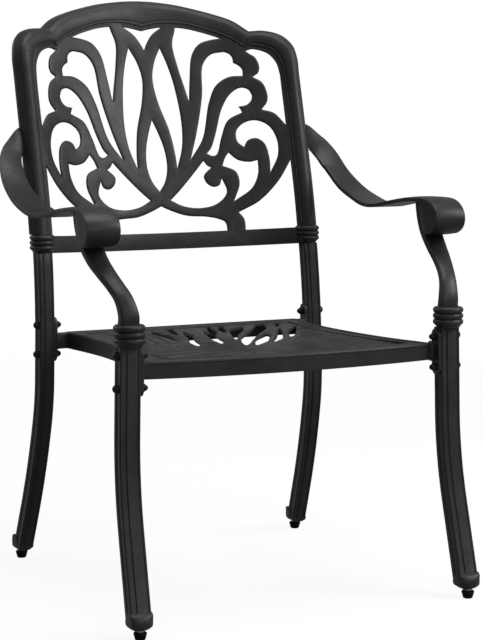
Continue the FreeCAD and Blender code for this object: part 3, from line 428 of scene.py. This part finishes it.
def pierced_plate(name, outer, holes, grid, front, back, place):
    """A plate with holes and rounded edges, meshed finely enough to bend and to swell.

    front(distance, x, y) and back(distance, x, y) give the depths of its two faces by the
    distance from the nearest edge; place(x, y, depth) puts a point in the chair.
    """
    loops = [outer] + holes
    flat = np.concatenate(loops + [plate_spots(loops, grid)])
    edges, start = [], 0
    for loop in loops:
        count = len(loop)
        edges += [(start + i, start + (i + 1) % count) for i in range(count)]
        start += count
    made = geometry.delaunay_2d_cdt([Vector(p) for p in flat], edges, [], 0, 1e-4)
    points = np.array([tuple(p) for p in made[0]])
    faces = [tuple(f) for f in made[2]]
    keep = on_plate(points[np.array(faces)].mean(1), outer, holes)
    faces = [f for f, kept in zip(faces, keep) if kept]
    used = sorted({i for f in faces for i in f})
    number = {old: new for new, old in enumerate(used)}
    points = points[used]
    faces = [tuple(number[i] for i in f) for f in faces]
    reach = distance_to(points, loops)
    reach[reach < 0.02] = 0
    count = len(points)
    near, far = ([place(x, y, depth(d, x, y)) for (x, y), d in zip(points, reach)]
                 for depth in (front, back))
    sides = [(f[i], f[(i + 1) % 3]) for f in faces for i in range(3)]
    known = set(sides)
    shell = faces + [tuple(i + count for i in reversed(f)) for f in faces]
    shell += [(b, a, a + count, b + count) for a, b in sides if (b, a) not in known]
    return from_faces(name, near + far, shell, 50)


# Back: a leaning, hollow plate; points are (x, height) on its face and a depth behind it.
# Below the place where the lean starts, the back follows the sweep of its posts.

LEAN = math.radians(15.2)
BACK_RADIUS = 434.0
LEAN_START_Y, LEAN_START_Z = 234.957, 629.989
OUTLINE_DATUM = 8.65
SWEEP_RADIUS = 1090.0
SWEEP_AXIS = SWEEP_RADIUS - 64.066
BAND_FRONT = -5.5


def on_back(x, height, depth, rise=0.0):
    """A point of the back; rise tilts a bar's cross-section by so much to each depth."""
    turn = math.asin(x / BACK_RADIUS)
    radius = BACK_RADIUS + depth
    hollow = BACK_RADIUS * (1 - math.cos(turn))
    x = radius * math.sin(turn)
    y = radius * math.cos(turn) - BACK_RADIUS
    z = (height + OUTLINE_DATUM - LEAN_START_Z - hollow * math.sin(LEAN)) / math.cos(LEAN)
    z += rise * (depth - BAND_FRONT) * math.cos(turn)
    if z < 0:
        across, swept = y - SWEEP_AXIS, -z / (SWEEP_AXIS - y)
        y = SWEEP_AXIS + across * math.cos(swept)
        z = across * math.sin(swept)
    return (x, LEAN_START_Y + y * math.cos(LEAN) + z * math.sin(LEAN),
            LEAN_START_Z - y * math.sin(LEAN) + z * math.cos(LEAN))


BACK_HOLES = [
    # long inner petal
    [[(29, 843), (17, 820), (10, 791), (15, 752), (30, 703), (36, 662)],
     [(37, 639), (49, 674), (53, 715), (47, 780), (38, 818)]],
    # under the crest
    [[(64, 890), (60, 874), (53, 850), (58, 812), (66, 776)],
     [(71, 753), (76, 788), (85, 832), (100, 851), (120, 858)],
     [(140, 861), (145, 885)]],
    # outer petal
    [[(139, 837), (117, 832), (102, 814), (95, 762), (80, 704)],
     [(63, 654), (87, 688), (105, 750), (120, 779), (143, 794)],
     [(166, 796), (166, 807), (160, 814)],
     [(153, 818), (152, 828), (147, 834)]],
    # hooked petal
    [[(177, 762), (172, 772), (160, 775), (143, 765), (126, 740), (110, 695), (100, 672)],
     [(92, 663), (100, 659), (108, 661), (119, 690), (133, 719)],
     [(158, 733), (156, 738)],
     [(153, 743), (167, 746), (175, 754)]],
    # beside the post
    [[(175, 839), (181, 834), (189, 828), (194, 812), (191, 801)],
     [(182, 794), (195, 785), (201, 768), (200, 752)],
     [(190, 738), (208, 732)],
     [(223.5, 712)],
     [(223.5, 798), (220, 818), (209, 834), (190, 842)]],
    # crescent in the ring
    [[(155, 674), (146, 682), (145, 700), (158, 714), (178, 719), (197, 710), (207, 688),
      (206, 660)],
     [(192, 631), (193, 655), (188, 680), (176, 689), (162, 685)]],
    # under the ring's scroll
    [[(128, 664), (141, 652), (160, 648)],
     [(174, 651), (172, 628), (160, 604)],
     [(129, 582), (141, 612), (137, 632)],
     [(116, 642), (121, 654)]],
    # lowest hole, round the small ball
    [[(84, 650), (60, 624), (36, 600)],
     [(19, 585), (40, 575), (70, 571), (100, 578), (118, 597)],
     [(112, 620), (107, 609), (96, 606), (85, 613), (82, 625)],
     [(96, 639), (90, 642)]],
]
BACK_MIDDLE = [
    # under the drip
    [[(0, 840), (7, 853), (17, 866)], [(36, 879.5), (34, 900)], [(-34, 900)],
     [(-36, 879.5), (-17, 866), (-7, 853)]],
    # pointed oval
    [[(0, 720), (9, 697), (17, 668), (18, 638), (11, 615)],
     [(0, 600), (-11, 615), (-18, 638), (-17, 668), (-9, 697)]],
]
BACK_EDGE = [
    [(0, 575), (18, 567), (45, 558.5), (80, 556), (100, 552), (111, 546)],
    [(113, 522)],
    [(143, 522), (144, 546), (142, 554)],
    [(135, 563), (170, 582), (202, 615)],
    [(223.5, 650)],
    [(232, 700)],
    [(232, 800), (222, 840), (190, 860), (120, 880), (60, 890)],
]

SCROLL_FACE, SCROLL_REAR = -2.6, 0.5
SCROLL_ROUNDING, SCROLL_REAR_ROUNDING = 1.9, 1.2
SCROLL_DOME = 0.7


def make_scrollwork():
    holes = BACK_MIDDLE + BACK_HOLES + [mirrored(hole) for hole in BACK_HOLES]

    def face(distance, x, height):
        dome = SCROLL_DOME * (1 - math.exp(-max(distance - 1.0, 0) / 3.5))
        return SCROLL_FACE + rounding(distance, SCROLL_ROUNDING) - dome

    def rear(distance, x, height):
        return SCROLL_REAR - rounding(distance, SCROLL_REAR_ROUNDING)

    piece = pierced_plate("back_scrollwork", loop_of(whole_edge(BACK_EDGE), 3.0),
                          [loop_of(hole, 2.6) for hole in holes], 6.0, face, rear, on_back)
    install(piece, node="back_panel")


# Posts and crest: bars along the back's edge, with a thin flange on their inner side

POST_LOW, POST_NEXT = 540, 560
POST_OUTER = [(250, POST_LOW), (250, 700), (250, 798), (250, 826), (245, 849), (230, 866),
              (206, 873), (184, 872)]
CREST_OUTER = [(184, 872), (160, 890), (130, 901.5), (96, 910.8), (68, 917), (40, 920.8),
               (22, 922.3), (0, 923)]
FLANGE = 6
POST_BACK, POST_CROWN = 23.0, 7.0
CREST_BACK, CREST_CROWN = 27.0, 6.4
GROOVE = 0.55


def post_inner(inset):
    return [(224 + inset, POST_LOW), (224 + inset, 700), (224 + inset, 798),
            (221 + inset, 817 + inset / 2), (210 + inset, 834 + inset), (190, 842 + inset),
            (182, 842 + inset), (175 + inset / 3, 839 + inset)]


def crest_inner(lift):
    return [(175, 839 + lift), (150, 855 + lift), (120, 867 + lift), (83, 877 + lift),
            (60, 879.7 + lift), (36, 879.5 + lift), (20, 877.5 + lift), (0, 873 + lift)]


def band_profile(back, crown):
    """Flange, two fine grooves, a round bar and its flat back, as (across, depth, radius).

    Across runs from -1 to 0 over the flange and from 0 to 1 over the bar.
    """
    return rounded_run([
        (-1, -3.0, 0.5), (-0.62, -3.1, 0.1), (-0.5, -3.1 + GROOVE, 0.1), (-0.38, -3.1, 0.1),
        (-0.02, -3.2, 0.3), (0.0, -4.4, 0.2),
        (0.05, -4.9, 0.1), (0.10, -4.2, 0.1), (0.15, -5.2, 0.1),
        (0.30, -crown * 0.93, 0.1), (0.50, -crown, 0.2), (0.70, -crown * 0.88, 0.1),
        (0.86, -crown * 0.45, 0.1), (0.96, 0.5, 0.1), (1.0, 5.0, 0.2),
        (1.0, back - 6, 0.2), (0.96, back - 1.6, 0.1), (0.84, back, 0.2),
        (0.0, back, 0.02), (0.0, 3.0, 0.02), (-1, 3.0, 0.5)], 0.1, 2)


def smooth_stations(inner, outer, steps):
    """Cross-sections of a bar as (flange's edge, bar's inner edge, bar's outer edge)."""
    return list(zip(*(curve_through(line, steps) for line in (inner(0), inner(FLANGE), outer))))


def mirror_stations(stations):
    return [tuple((-x, height) for x, height in station) for station in stations]


def make_bar(name, node, stations, profile):
    rings = []
    for flange, inner, outer in stations:
        ring = []
        for across, depth in profile:
            far = flange if across < 0 else outer
            x, height = np.array(inner) + (np.array(far) - np.array(inner)) * abs(across)
            ring.append(on_back(x, height, depth, math.tan(LEAN) if across >= 0 else 0))
        rings.append(ring)
    install(tube(name, rings), node=node)


def make_posts_and_crest():
    post = smooth_stations(post_inner, POST_OUTER, 10)
    post = post[:1] + [station for station in post if station[0][1] >= POST_NEXT]
    for side_name, side in SIDES:
        stations = post if side > 0 else mirror_stations(post)
        make_bar(f"post_{side_name}", f"back_post_{side_name}", stations,
                 band_profile(POST_BACK, POST_CROWN))
    crest = smooth_stations(crest_inner, CREST_OUTER, 8)
    make_bar("crest", "crest_rail", crest + mirror_stations(crest)[::-1][1:],
             band_profile(CREST_BACK, CREST_CROWN))


# Seat: a flat frame with a raised lip over an apron, and an openwork panel of leaf ribs

FRONT_LEG_Y = -276.1
LEG_SPACING = 411.1
SEAT_TOP = 391.5
SEAT_FALL = math.tan(math.radians(0.3))
SEAT_FRONT, SEAT_REAR, SEAT_SAG = 20.5, 2.6, 24.0
FRONT_HALF, WAIST_HALF, REAR_HALF = 238.0, 200.0, 210.0
APRON = 25.5
# Each hole runs from its near tip up its left side to its far tip and back down its right
SEAT_HOLES = [
    ((-84, 221), [(-89, 269), (-90, 319)], (-74, 371), [(-62, 339), (-72, 269)]),
    ((-58, 295), [(-54, 329), (-46, 369)], (-34, 411), [(-34, 374), (-45, 329)]),
    ((-88, 151), [(-76, 204), (-64, 239), (-54, 266), (-41, 309)], (-28, 347),
     [(-28, 304), (-42, 273), (-55, 233), (-65, 194)]),
    ((-39, 169), [(-32, 214), (-24, 244), (-18, 266), (-8, 301)], (6, 339),
     [(8, 301), (2, 281), (-8, 247), (-18, 209)]),
    ((8, 295), [(10, 321), (20, 354)], (36, 389), [(30, 349), (21, 317)]),
    ((26, 301), [(32, 331), (44, 365)], (62, 397), [(54, 361), (41, 325)]),
    ((4, 207), [(12, 234), (24, 266), (40, 309), (56, 344)], (90, 371),
     [(76, 334), (54, 299), (37, 271), (20, 239)]),
    ((-13, 135), [(-6, 161), (10, 201), (26, 235), (46, 265), (68, 299), (100, 347)],
     (138, 407), [(130, 361), (108, 319), (86, 288), (66, 259), (44, 224), (22, 189), (4, 159)]),
    ((2, 130), [(18, 167), (31, 194), (50, 222)], (84, 261),
     [(76, 233), (61, 207), (48, 183), (28, 156)]),
    ((46, 155), [(63, 192), (80, 218), (95, 245), (112, 277)], (136, 321),
     [(126, 291), (111, 259), (93, 222), (74, 190)]),
    ((98, 204), [(114, 240), (126, 265), (146, 299)], (176, 339),
     [(158, 301), (138, 266), (116, 226)]),
    ((140, 339), [(144, 354)], (164, 389), [(156, 361)]),
]


def seat_point(x, y, lift):
    """A point of the seat, y behind the front legs and lift above its frame's top."""
    return x, FRONT_LEG_Y + y, SEAT_TOP + lift - (y + SEAT_FRONT) * SEAT_FALL


def seat_outline(inset):
    """Outline of the seat, set in; the same number of points for any inset."""
    front, rear = -SEAT_FRONT + inset, LEG_SPACING - SEAT_REAR - inset
    wide, waist, narrow = (half - inset for half in (FRONT_HALF, WAIST_HALF, REAR_HALF))
    corner = front + SEAT_SAG
    length = rear - corner
    radius = (wide ** 2 + SEAT_SAG ** 2) / (2 * SEAT_SAG)
    edge = [(wide * t, front + radius - math.sqrt(radius ** 2 - (wide * t) ** 2))
            for t in np.linspace(-1, 1, 41)]
    side = curve_through([
        (wide, corner), (waist + (wide - waist) * 0.42, corner + length * 0.22),
        (waist + (wide - waist) * 0.05, corner + length * 0.52),
        (waist, corner + length * 0.71), (narrow, rear)], 12)
    back = [(narrow * t, rear) for t in np.linspace(1, -1, 31)]
    left = [(-x, y) for x, y in reversed(side)]
    return np.array([tuple(p) for p in edge[:-1] + side[:-1] + back[:-1] + left[:-1]])


# Cross-section of the frame and its apron, as (inset from the seat's edge, lift)
RIM_PROFILE = [
    (0.8, -APRON), (0.0, -APRON + 0.9), (0.0, -5.2), (0.7, -4.6), (0.7, -4.1), (0.0, -3.5),
    (0.0, -1.6), (0.5, -0.2), (1.6, 1.0), (3.2, 1.6), (5.2, 1.5), (6.8, 0.7), (7.8, -0.3),
    (9.2, -0.5), (20.5, -0.4), (22.2, 0.1), (23.4, -0.3), (24.0, -1.5), (24.0, -5.4),
    (23.4, -6.0), (6.0, -6.0), (6.0, -APRON + 0.7), (5.3, -APRON)]
# Necks to the lugs: where each meets its plate and starts in the apron, across; its front; flare
NECKS = {"front": (243.8, 224.0, 3.5, 3.0), "rear": (226.4, 196.0, 400.1, 1.0)}
NECK_WIDTH = 14.0
NECK_OVERLAP = 0.6
FLARE_LENGTH = 0.38


def make_rim():
    rings = [[seat_point(x, y, lift) for x, y in seat_outline(inset)]
             for inset, lift in RIM_PROFILE]
    install(tube("cast_seat_rim", rings + rings[:1], ends=False), node="seat_rim")
    for side_name, side in SIDES:
        for end in ENDS:
            make_neck(f"cast_seat_neck_{end}_{side_name}", side, *NECKS[end])


def make_neck(name, side, plate, root, front, flare):
    """Neck from the apron to a lug, flared and rounded where it meets the lug's plate."""
    rings = []
    for t in np.linspace(0, 1, 15):
        x = root + (plate + NECK_OVERLAP - root) * t
        late = max(0, (t - 1 + FLARE_LENGTH) / FLARE_LENGTH)
        grown = flare * max(0, 1 - math.sqrt(max(0, 1 - late ** 2)))
        low, high = -APRON - grown, grown
        near, far = front - 0.4 * grown, front + NECK_WIDTH + 0.4 * grown
        section = rounded_run([(near, low), (far, low), (far, high), (near, high)], 2.2, 3)
        rings.append([seat_point(side * x, y, lift) for y, lift in section])
    install(tube(name, rings))


# The leaves fan out from a point near the front; at the left they run back side by side, and
# lean into the fan from the corner
FAN_X, FAN_Y = 6, 96
FAN_LEFT = -45
FAN_LEAVES, LEANING_LEAVES = 48, 30
FAN_SWAY, SWAY_REACH = 0.05, 34
RIB_PITCH = 19
RIB_HEIGHT, RIB_SUNK = 4.2, 2.0
RIB_AMONG_HOLES, RIB_RIGHT = 0.3, 0.8
PANEL_INSET, PANEL_LIFT, PANEL_THICKNESS = 22.5, -3.2, 4.5
PANEL_SWELL, SWELL_HALF = 1.6, 190


def leaf_phase(x, y, reach):
    """Angle that grows by a full turn from one rib to the next."""
    bearing = math.atan2(y - FAN_Y, x - FAN_X)
    if x > FAN_LEFT:
        return FAN_LEAVES * (bearing + FAN_SWAY * math.sin(reach / SWAY_REACH))
    upright = 2 * math.pi * (x - 0.08 * y + 5 * math.sin(y / 60)) / RIB_PITCH
    low_left = ramp(y, 190, 120)
    return upright * (1 - low_left) + LEANING_LEAVES * bearing * low_left


def leaf_ribs(x, y):
    """Height of the panel's ribs, which fade out at its edges and at the fan's centre."""
    reach = math.hypot(x - FAN_X, y - FAN_Y)
    wave = 1 - (0.5 + 0.5 * math.cos(leaf_phase(x, y, reach))) ** 3
    among_holes = ramp(x, -96, -84) * ramp(176 - 0.2 * (370 - y) - x, 0, 14)
    rib = (RIB_HEIGHT * wave - RIB_SUNK) * (1 - (1 - RIB_AMONG_HOLES) * among_holes)
    rib *= 1 if x < 0 else RIB_RIGHT
    half = WAIST_HALF - 26 + (FRONT_HALF - WAIST_HALF) * max(0, 1 - y / 200)
    edge = ramp(y, 8, 20) * ramp(LEG_SPACING - 30 - y, 0, 12) * ramp(half - abs(x), 0, 18)
    return rib * edge * ramp(reach, 20, 60)


def make_seat_panel():
    holes = [loop_of([[near] + left, [far] + right], 3.0)
             for near, left, far, right in SEAT_HOLES]
    outer = loop_of([[tuple(p)] for p in seat_outline(PANEL_INSET)[::3]], 6.0)

    def face(distance, x, y):
        swell = PANEL_SWELL * (1 - math.exp(-distance / 3.0)) if abs(x) < SWELL_HALF else 0
        return PANEL_LIFT - rounding(distance, 2.4) + swell + leaf_ribs(x, y)

    def under(distance, x, y):
        return PANEL_LIFT - PANEL_THICKNESS + rounding(distance, 1.5)

    piece = pierced_plate("cast_seat_openwork", outer, holes, 2.7, face, under, seat_point)
    install(piece, node="seat_grille")


# Arms: the support comes up behind the ribbon's curl, whose hollow is closed on both sides by a
# sheet of the casting, which is painted shade standing in for the shadow inside the hollow

ARM_X = 288.7
# Middle of the support as x, y behind the front leg and height; its width and thickness
SUPPORT_RUN = [
    (265, -4, 448, 28.6, 17.6), (265.3, -4.5, 462, 28, 17), (269.5, 4.5, 485, 25.4, 15),
    (275.3, 21, 502, 25.2, 13.5), (281, 43, 519, 27.5, 13.5), (285, 65.5, 536, 31, 13.5),
    (287.4, 87, 559, 34, 13.5), (288.4, 98, 583, 35.5, 13.5), (ARM_X, 101, 607, 38, 13.5),
]
SUPPORT_CROWN, SUPPORT_ROUNDING = 2.2, 1.8
CURL_Y, CURL_Z = 76.5, 581.0
CURL_LENGTH, CURL_RISE, CURL_DROP = 44, 26.2, 23
CURL_REAR = [(9, -22), (13, -15), (19, -4), (22, 10), (24, 26)]
# Rings across the curl's filling, a sheet that is painted shade for the hollow's shadow: place from
# its middle, how far its rear is drawn forward and its scale
CURL_SHADE_SHEET_RINGS = [(16, 0, 1), (19, 5, 1), (22.4, 17, 1), (23, 20, 0.98)]


def make_support(name, side, node):
    line = curve_through(SUPPORT_RUN, 7)
    rings = []
    for i, (x, y, z, width, thickness) in enumerate(line):
        before, after = line[max(i - 1, 0)], line[min(i + 1, len(line) - 1)]
        along = np.array([after[1] - before[1], after[2] - before[2]])
        along = np.array([0, 1.0]) if i == 0 else along / np.linalg.norm(along)
        half, deep = width / 2, thickness / 2
        shoulder = deep - SUPPORT_CROWN
        section = rounded_run([(-half, -deep), (half, -deep), (half, shoulder),
                               (half * 0.55, deep - 0.6), (0, deep), (-half * 0.55, deep - 0.6),
                               (-half, shoulder)], SUPPORT_ROUNDING)
        rings.append([(side * (x + across), FRONT_LEG_Y + y - ahead * along[1],
                       z + ahead * along[0]) for across, ahead in section])
    install(tube(name, rings), node=node)


def make_curl_shade_sheet(name, side):
    """A sheet of the casting that closes the curl between its ribbon and the support: painted shade
    for the shadow inside the hollow.
    """
    front = [(CURL_LENGTH * math.cos(a), (CURL_RISE if a < math.pi else CURL_DROP) * math.sin(a))
             for a in np.linspace(math.pi / 2, math.pi * 1.5, 25)]
    rings = []
    for across, ahead, scale in ([(-x, ahead, scale) for x, ahead, scale in reversed(CURL_SHADE_SHEET_RINGS)]
                                 + CURL_SHADE_SHEET_RINGS):
        rear = [(y - ahead, z) for y, z in CURL_REAR]
        rings.append([(side * (ARM_X + across), FRONT_LEG_Y + CURL_Y + y * scale,
                       CURL_Z + z * scale) for y, z in front + rear])
    install(tube(name, rings))


def make_arm_supports():
    for side_name, side in SIDES:
        make_support(f"cast_arm_support_{side_name}", side, f"arm_support_{side_name}")
        # the curl's filling is painted shade: a dark sheet put where the hollow lies in shadow
        make_curl_shade_sheet(f"cast_curl_shade_sheet_{side_name}", side)


# Legs: the solids' own shape, with each rolled toe drawn in to a bulb

TOE_RADIUS = 13.5
TOE_REGION = 60.0
TOE_FADE = 8.0
TOE_SHRINK = 0.42
# Middle of the toe's roll across, along and up, half its width and the way it points along Y
TOES = {"front": (273.4, -331.9, 27.0, 16.7, -1), "rear": (257.5, 229.9, 27.0, 13.35, 1)}
CUTS_ACROSS = (0.12, 0.35, 0.55, 0.72, 0.86, 0.96)
CUT_LEVELS = (14.6, 17, 20, 24, 28, 32, 36, 40)


def swell_toe(end, side):
    """Make the rolled toe of a leg a bulb: it narrows towards both sides and underneath."""
    x0, y0, z0, half, ahead = TOES[end]
    upright = [((1, 0, 0), (side * x0 + t * half, 0, 0))
               for t in [-cut for cut in reversed(CUTS_ACROSS)] + list(CUTS_ACROSS)]
    level = [((0, 0, 1), (0, 0, z)) for z in CUT_LEVELS]

    def cut(shell, normal, place):
        near = [f for f in shell.faces if f.calc_center_median().z < MM * TOE_REGION]
        edges = dict.fromkeys(e for f in near for e in f.edges)
        corners = dict.fromkeys(v for f in near for v in f.verts)
        bmesh.ops.bisect_plane(shell, geom=near + list(edges) + list(corners), dist=1e-6,
                               plane_no=normal, plane_co=[MM * c for c in place])

    def draw_in(vertex):
        across = min(abs(vertex.co.x / MM - side * x0) / half, 1)
        out, up = (vertex.co.y / MM - y0) * ahead, vertex.co.z / MM - z0
        if math.hypot(out, up) > 1.35 * TOE_RADIUS + 6 or up > TOE_RADIUS:
            return
        bulb = min(max(out / TOE_RADIUS, -up / TOE_RADIUS, 0), 1)
        fade = ramp(TOE_RADIUS - up, 0, TOE_FADE)
        keep = 1 - TOE_SHRINK * across ** 3.2 * bulb * fade
        vertex.co.y = MM * (y0 + ahead * out * (keep if out > 0 else 1))
        vertex.co.z = MM * (z0 + up * (keep if up < 0 else 1))

    def change(mesh):
        shell = bmesh.new()
        shell.from_mesh(mesh)
        for normal, place in upright + level:
            cut(shell, normal, place)
        for vertex in shell.verts:
            draw_in(vertex)
        shell.to_mesh(mesh)
        shell.free()

    return change


# Pieces that keep their solids' shape, with how far each one's edges are rounded

def make_other_castings():
    rounded = {"back_lower_rail": 1.2}
    for side_name, side in SIDES:
        rounded[f"armrest_{side_name}"] = 1.6
        for end in ENDS:
            leg = f"{end}_leg_{side_name}"
            eased(f"cast_{leg}", leg, "chair", CAST, 1.3, change=swell_toe(end, side))
            rounded[f"{end}_collar_{side_name}"] = 0.4
            rounded[f"seat_lug_{end}_{side_name}"] = 0.8
    for node, width in rounded.items():
        eased(f"cast_{node}", node, "chair", CAST, width)


def make_fixings():
    for node, width in (("seat_bolts", 0.4), ("seat_washers", 0.25), ("seat_cap_nuts", 0.35)):
        eased(f"painted_{node}", node, "chair", PAINT, width, 2)


def make_feet():
    for side_name, side in SIDES:
        for end in ENDS:
            foot = f"{end}_{side_name}"
            glide = f"glide_{foot}"
            eased(f"insert_{foot}", f"foot_insert_{foot}", "chair", INSERT_STEEL, 0.3, 2)
            eased(f"stem_{foot}", f"leveller_stem_{foot}", glide, STEM_STEEL, 0.2, 2)
            eased(f"pad_{foot}", f"leveller_pad_{foot}", glide, GLIDE, 0.3, 2)


# Studio: white floor and world, soft light, the photograph's camera

REFLECTED_WHITE = 0.22
FLOOR_HALF = 30.0
FLOOR_TONE, FLOOR_SEEN_TONE = 0.22, 0.92
FLOOR_WHITE = 0.9
FADE_FROM, FADE_TO = 1.1, 3.2
AROUND_STRENGTH = 0.14
# Name, place, height aimed at, diameter and power
LAMPS = [
    ("key", (2.7, -2.1, 2.7), 0.55, 2.2, 130),
    ("top", (0.2, -0.3, 3.3), 0.5, 2.0, 58),
    ("fill", (0.3, -4.0, 1.5), 0.5, 2.4, 27),
    ("behind", (-2.3, 2.8, 2.2), 0.5, 2.4, 42),
]
CAMERA_PLACE = (-1.33233, -2.91357, 0.78259)
CAMERA_YAW, CAMERA_PITCH, CAMERA_ROLL = 0.4414, -0.11517, -0.00318
CAMERA_LENS, CAMERA_SENSOR = 112.5, 36.0


def ray_is(shade, kind):
    return shade.value(shade.node("ShaderNodeLightPath"), f"Is {kind} Ray")


def seen_directly(shade):
    """1 for what the camera sees, less in a reflection or through glass, 0 for soft light."""
    indirect = ray_is(shade, "Glossy") + ray_is(shade, "Transmission")
    return ray_is(shade, "Camera") + indirect * REFLECTED_WHITE


def make_floor():
    """A pale floor that the camera sees as white, more so far from the chair's shadow."""
    corners = [(-FLOOR_HALF, -FLOOR_HALF, 0), (FLOOR_HALF, -FLOOR_HALF, 0),
               (FLOOR_HALF, FLOOR_HALF, 0), (-FLOOR_HALF, FLOOR_HALF, 0)]
    mesh = bpy.data.meshes.new("floor")
    mesh.from_pydata(corners, [], [(0, 1, 2, 3)])
    shade = Shade(bpy.data.materials.new("white floor"))
    away = object_place(shade).length().above(FADE_FROM, FADE_TO)
    tone = FLOOR_TONE + (FLOOR_SEEN_TONE - FLOOR_TONE) * ray_is(shade, "Camera")
    plain = shade.node("ShaderNodeBsdfDiffuse", Color=tone)
    white = shade.node("ShaderNodeEmission", Color=(1, 1, 1, 1), Strength=1.0)
    mix = shade.node("ShaderNodeMixShader",
                     Fac=seen_directly(shade) * (FLOOR_WHITE + (1 - FLOOR_WHITE) * away),
                     i1=shade.value(plain), i2=shade.value(white))
    new_object("floor", mesh, shade.finish(mix))


def make_world():
    shade = Shade(bpy.data.worlds.new("studio"))
    around = shade.node("ShaderNodeBackground", Color=(0.95, 0.96, 1, 1), Strength=AROUND_STRENGTH)
    white = shade.node("ShaderNodeBackground", Color=(1, 1, 1, 1), Strength=1.0)
    mix = shade.node("ShaderNodeMixShader", Fac=seen_directly(shade),
                     i1=shade.value(around), i2=shade.value(white))
    bpy.context.scene.world = shade.finish(mix)


def make_lamps():
    for name, spot, height, width, power in LAMPS:
        lamp = bpy.data.lights.new(name, "AREA")
        lamp.shape = "DISK"
        lamp.size = width
        lamp.energy = power
        item = bpy.data.objects.new(name, lamp)
        item.location = spot
        aim = Vector((0, 0, height)) - Vector(spot)
        item.rotation_euler = aim.to_track_quat("-Z", "Y").to_euler()
        bpy.context.scene.collection.objects.link(item)


def make_camera():
    data = bpy.data.cameras.new("camera")
    data.lens = CAMERA_LENS
    data.sensor_width = CAMERA_SENSOR
    camera = bpy.data.objects.new("camera", data)
    ahead = Vector((math.sin(CAMERA_YAW) * math.cos(CAMERA_PITCH),
                    math.cos(CAMERA_YAW) * math.cos(CAMERA_PITCH), math.sin(CAMERA_PITCH)))
    right = Vector((math.cos(CAMERA_YAW), -math.sin(CAMERA_YAW), 0))
    up = right.cross(ahead)
    right, up = (right * math.cos(CAMERA_ROLL) + up * math.sin(CAMERA_ROLL),
                 up * math.cos(CAMERA_ROLL) - right * math.sin(CAMERA_ROLL))
    turn = Matrix((right, up, -ahead)).transposed().to_4x4()
    camera.matrix_world = Matrix.Translation(CAMERA_PLACE) @ turn
    bpy.context.scene.collection.objects.link(camera)
    bpy.context.scene.camera = camera


make_scrollwork()
make_posts_and_crest()
make_rim()
make_seat_panel()
make_arm_supports()
make_other_castings()
make_fixings()
make_feet()
make_floor()
make_world()
make_lamps()
make_camera()
bpy.context.scene.view_settings.view_transform = "Standard"
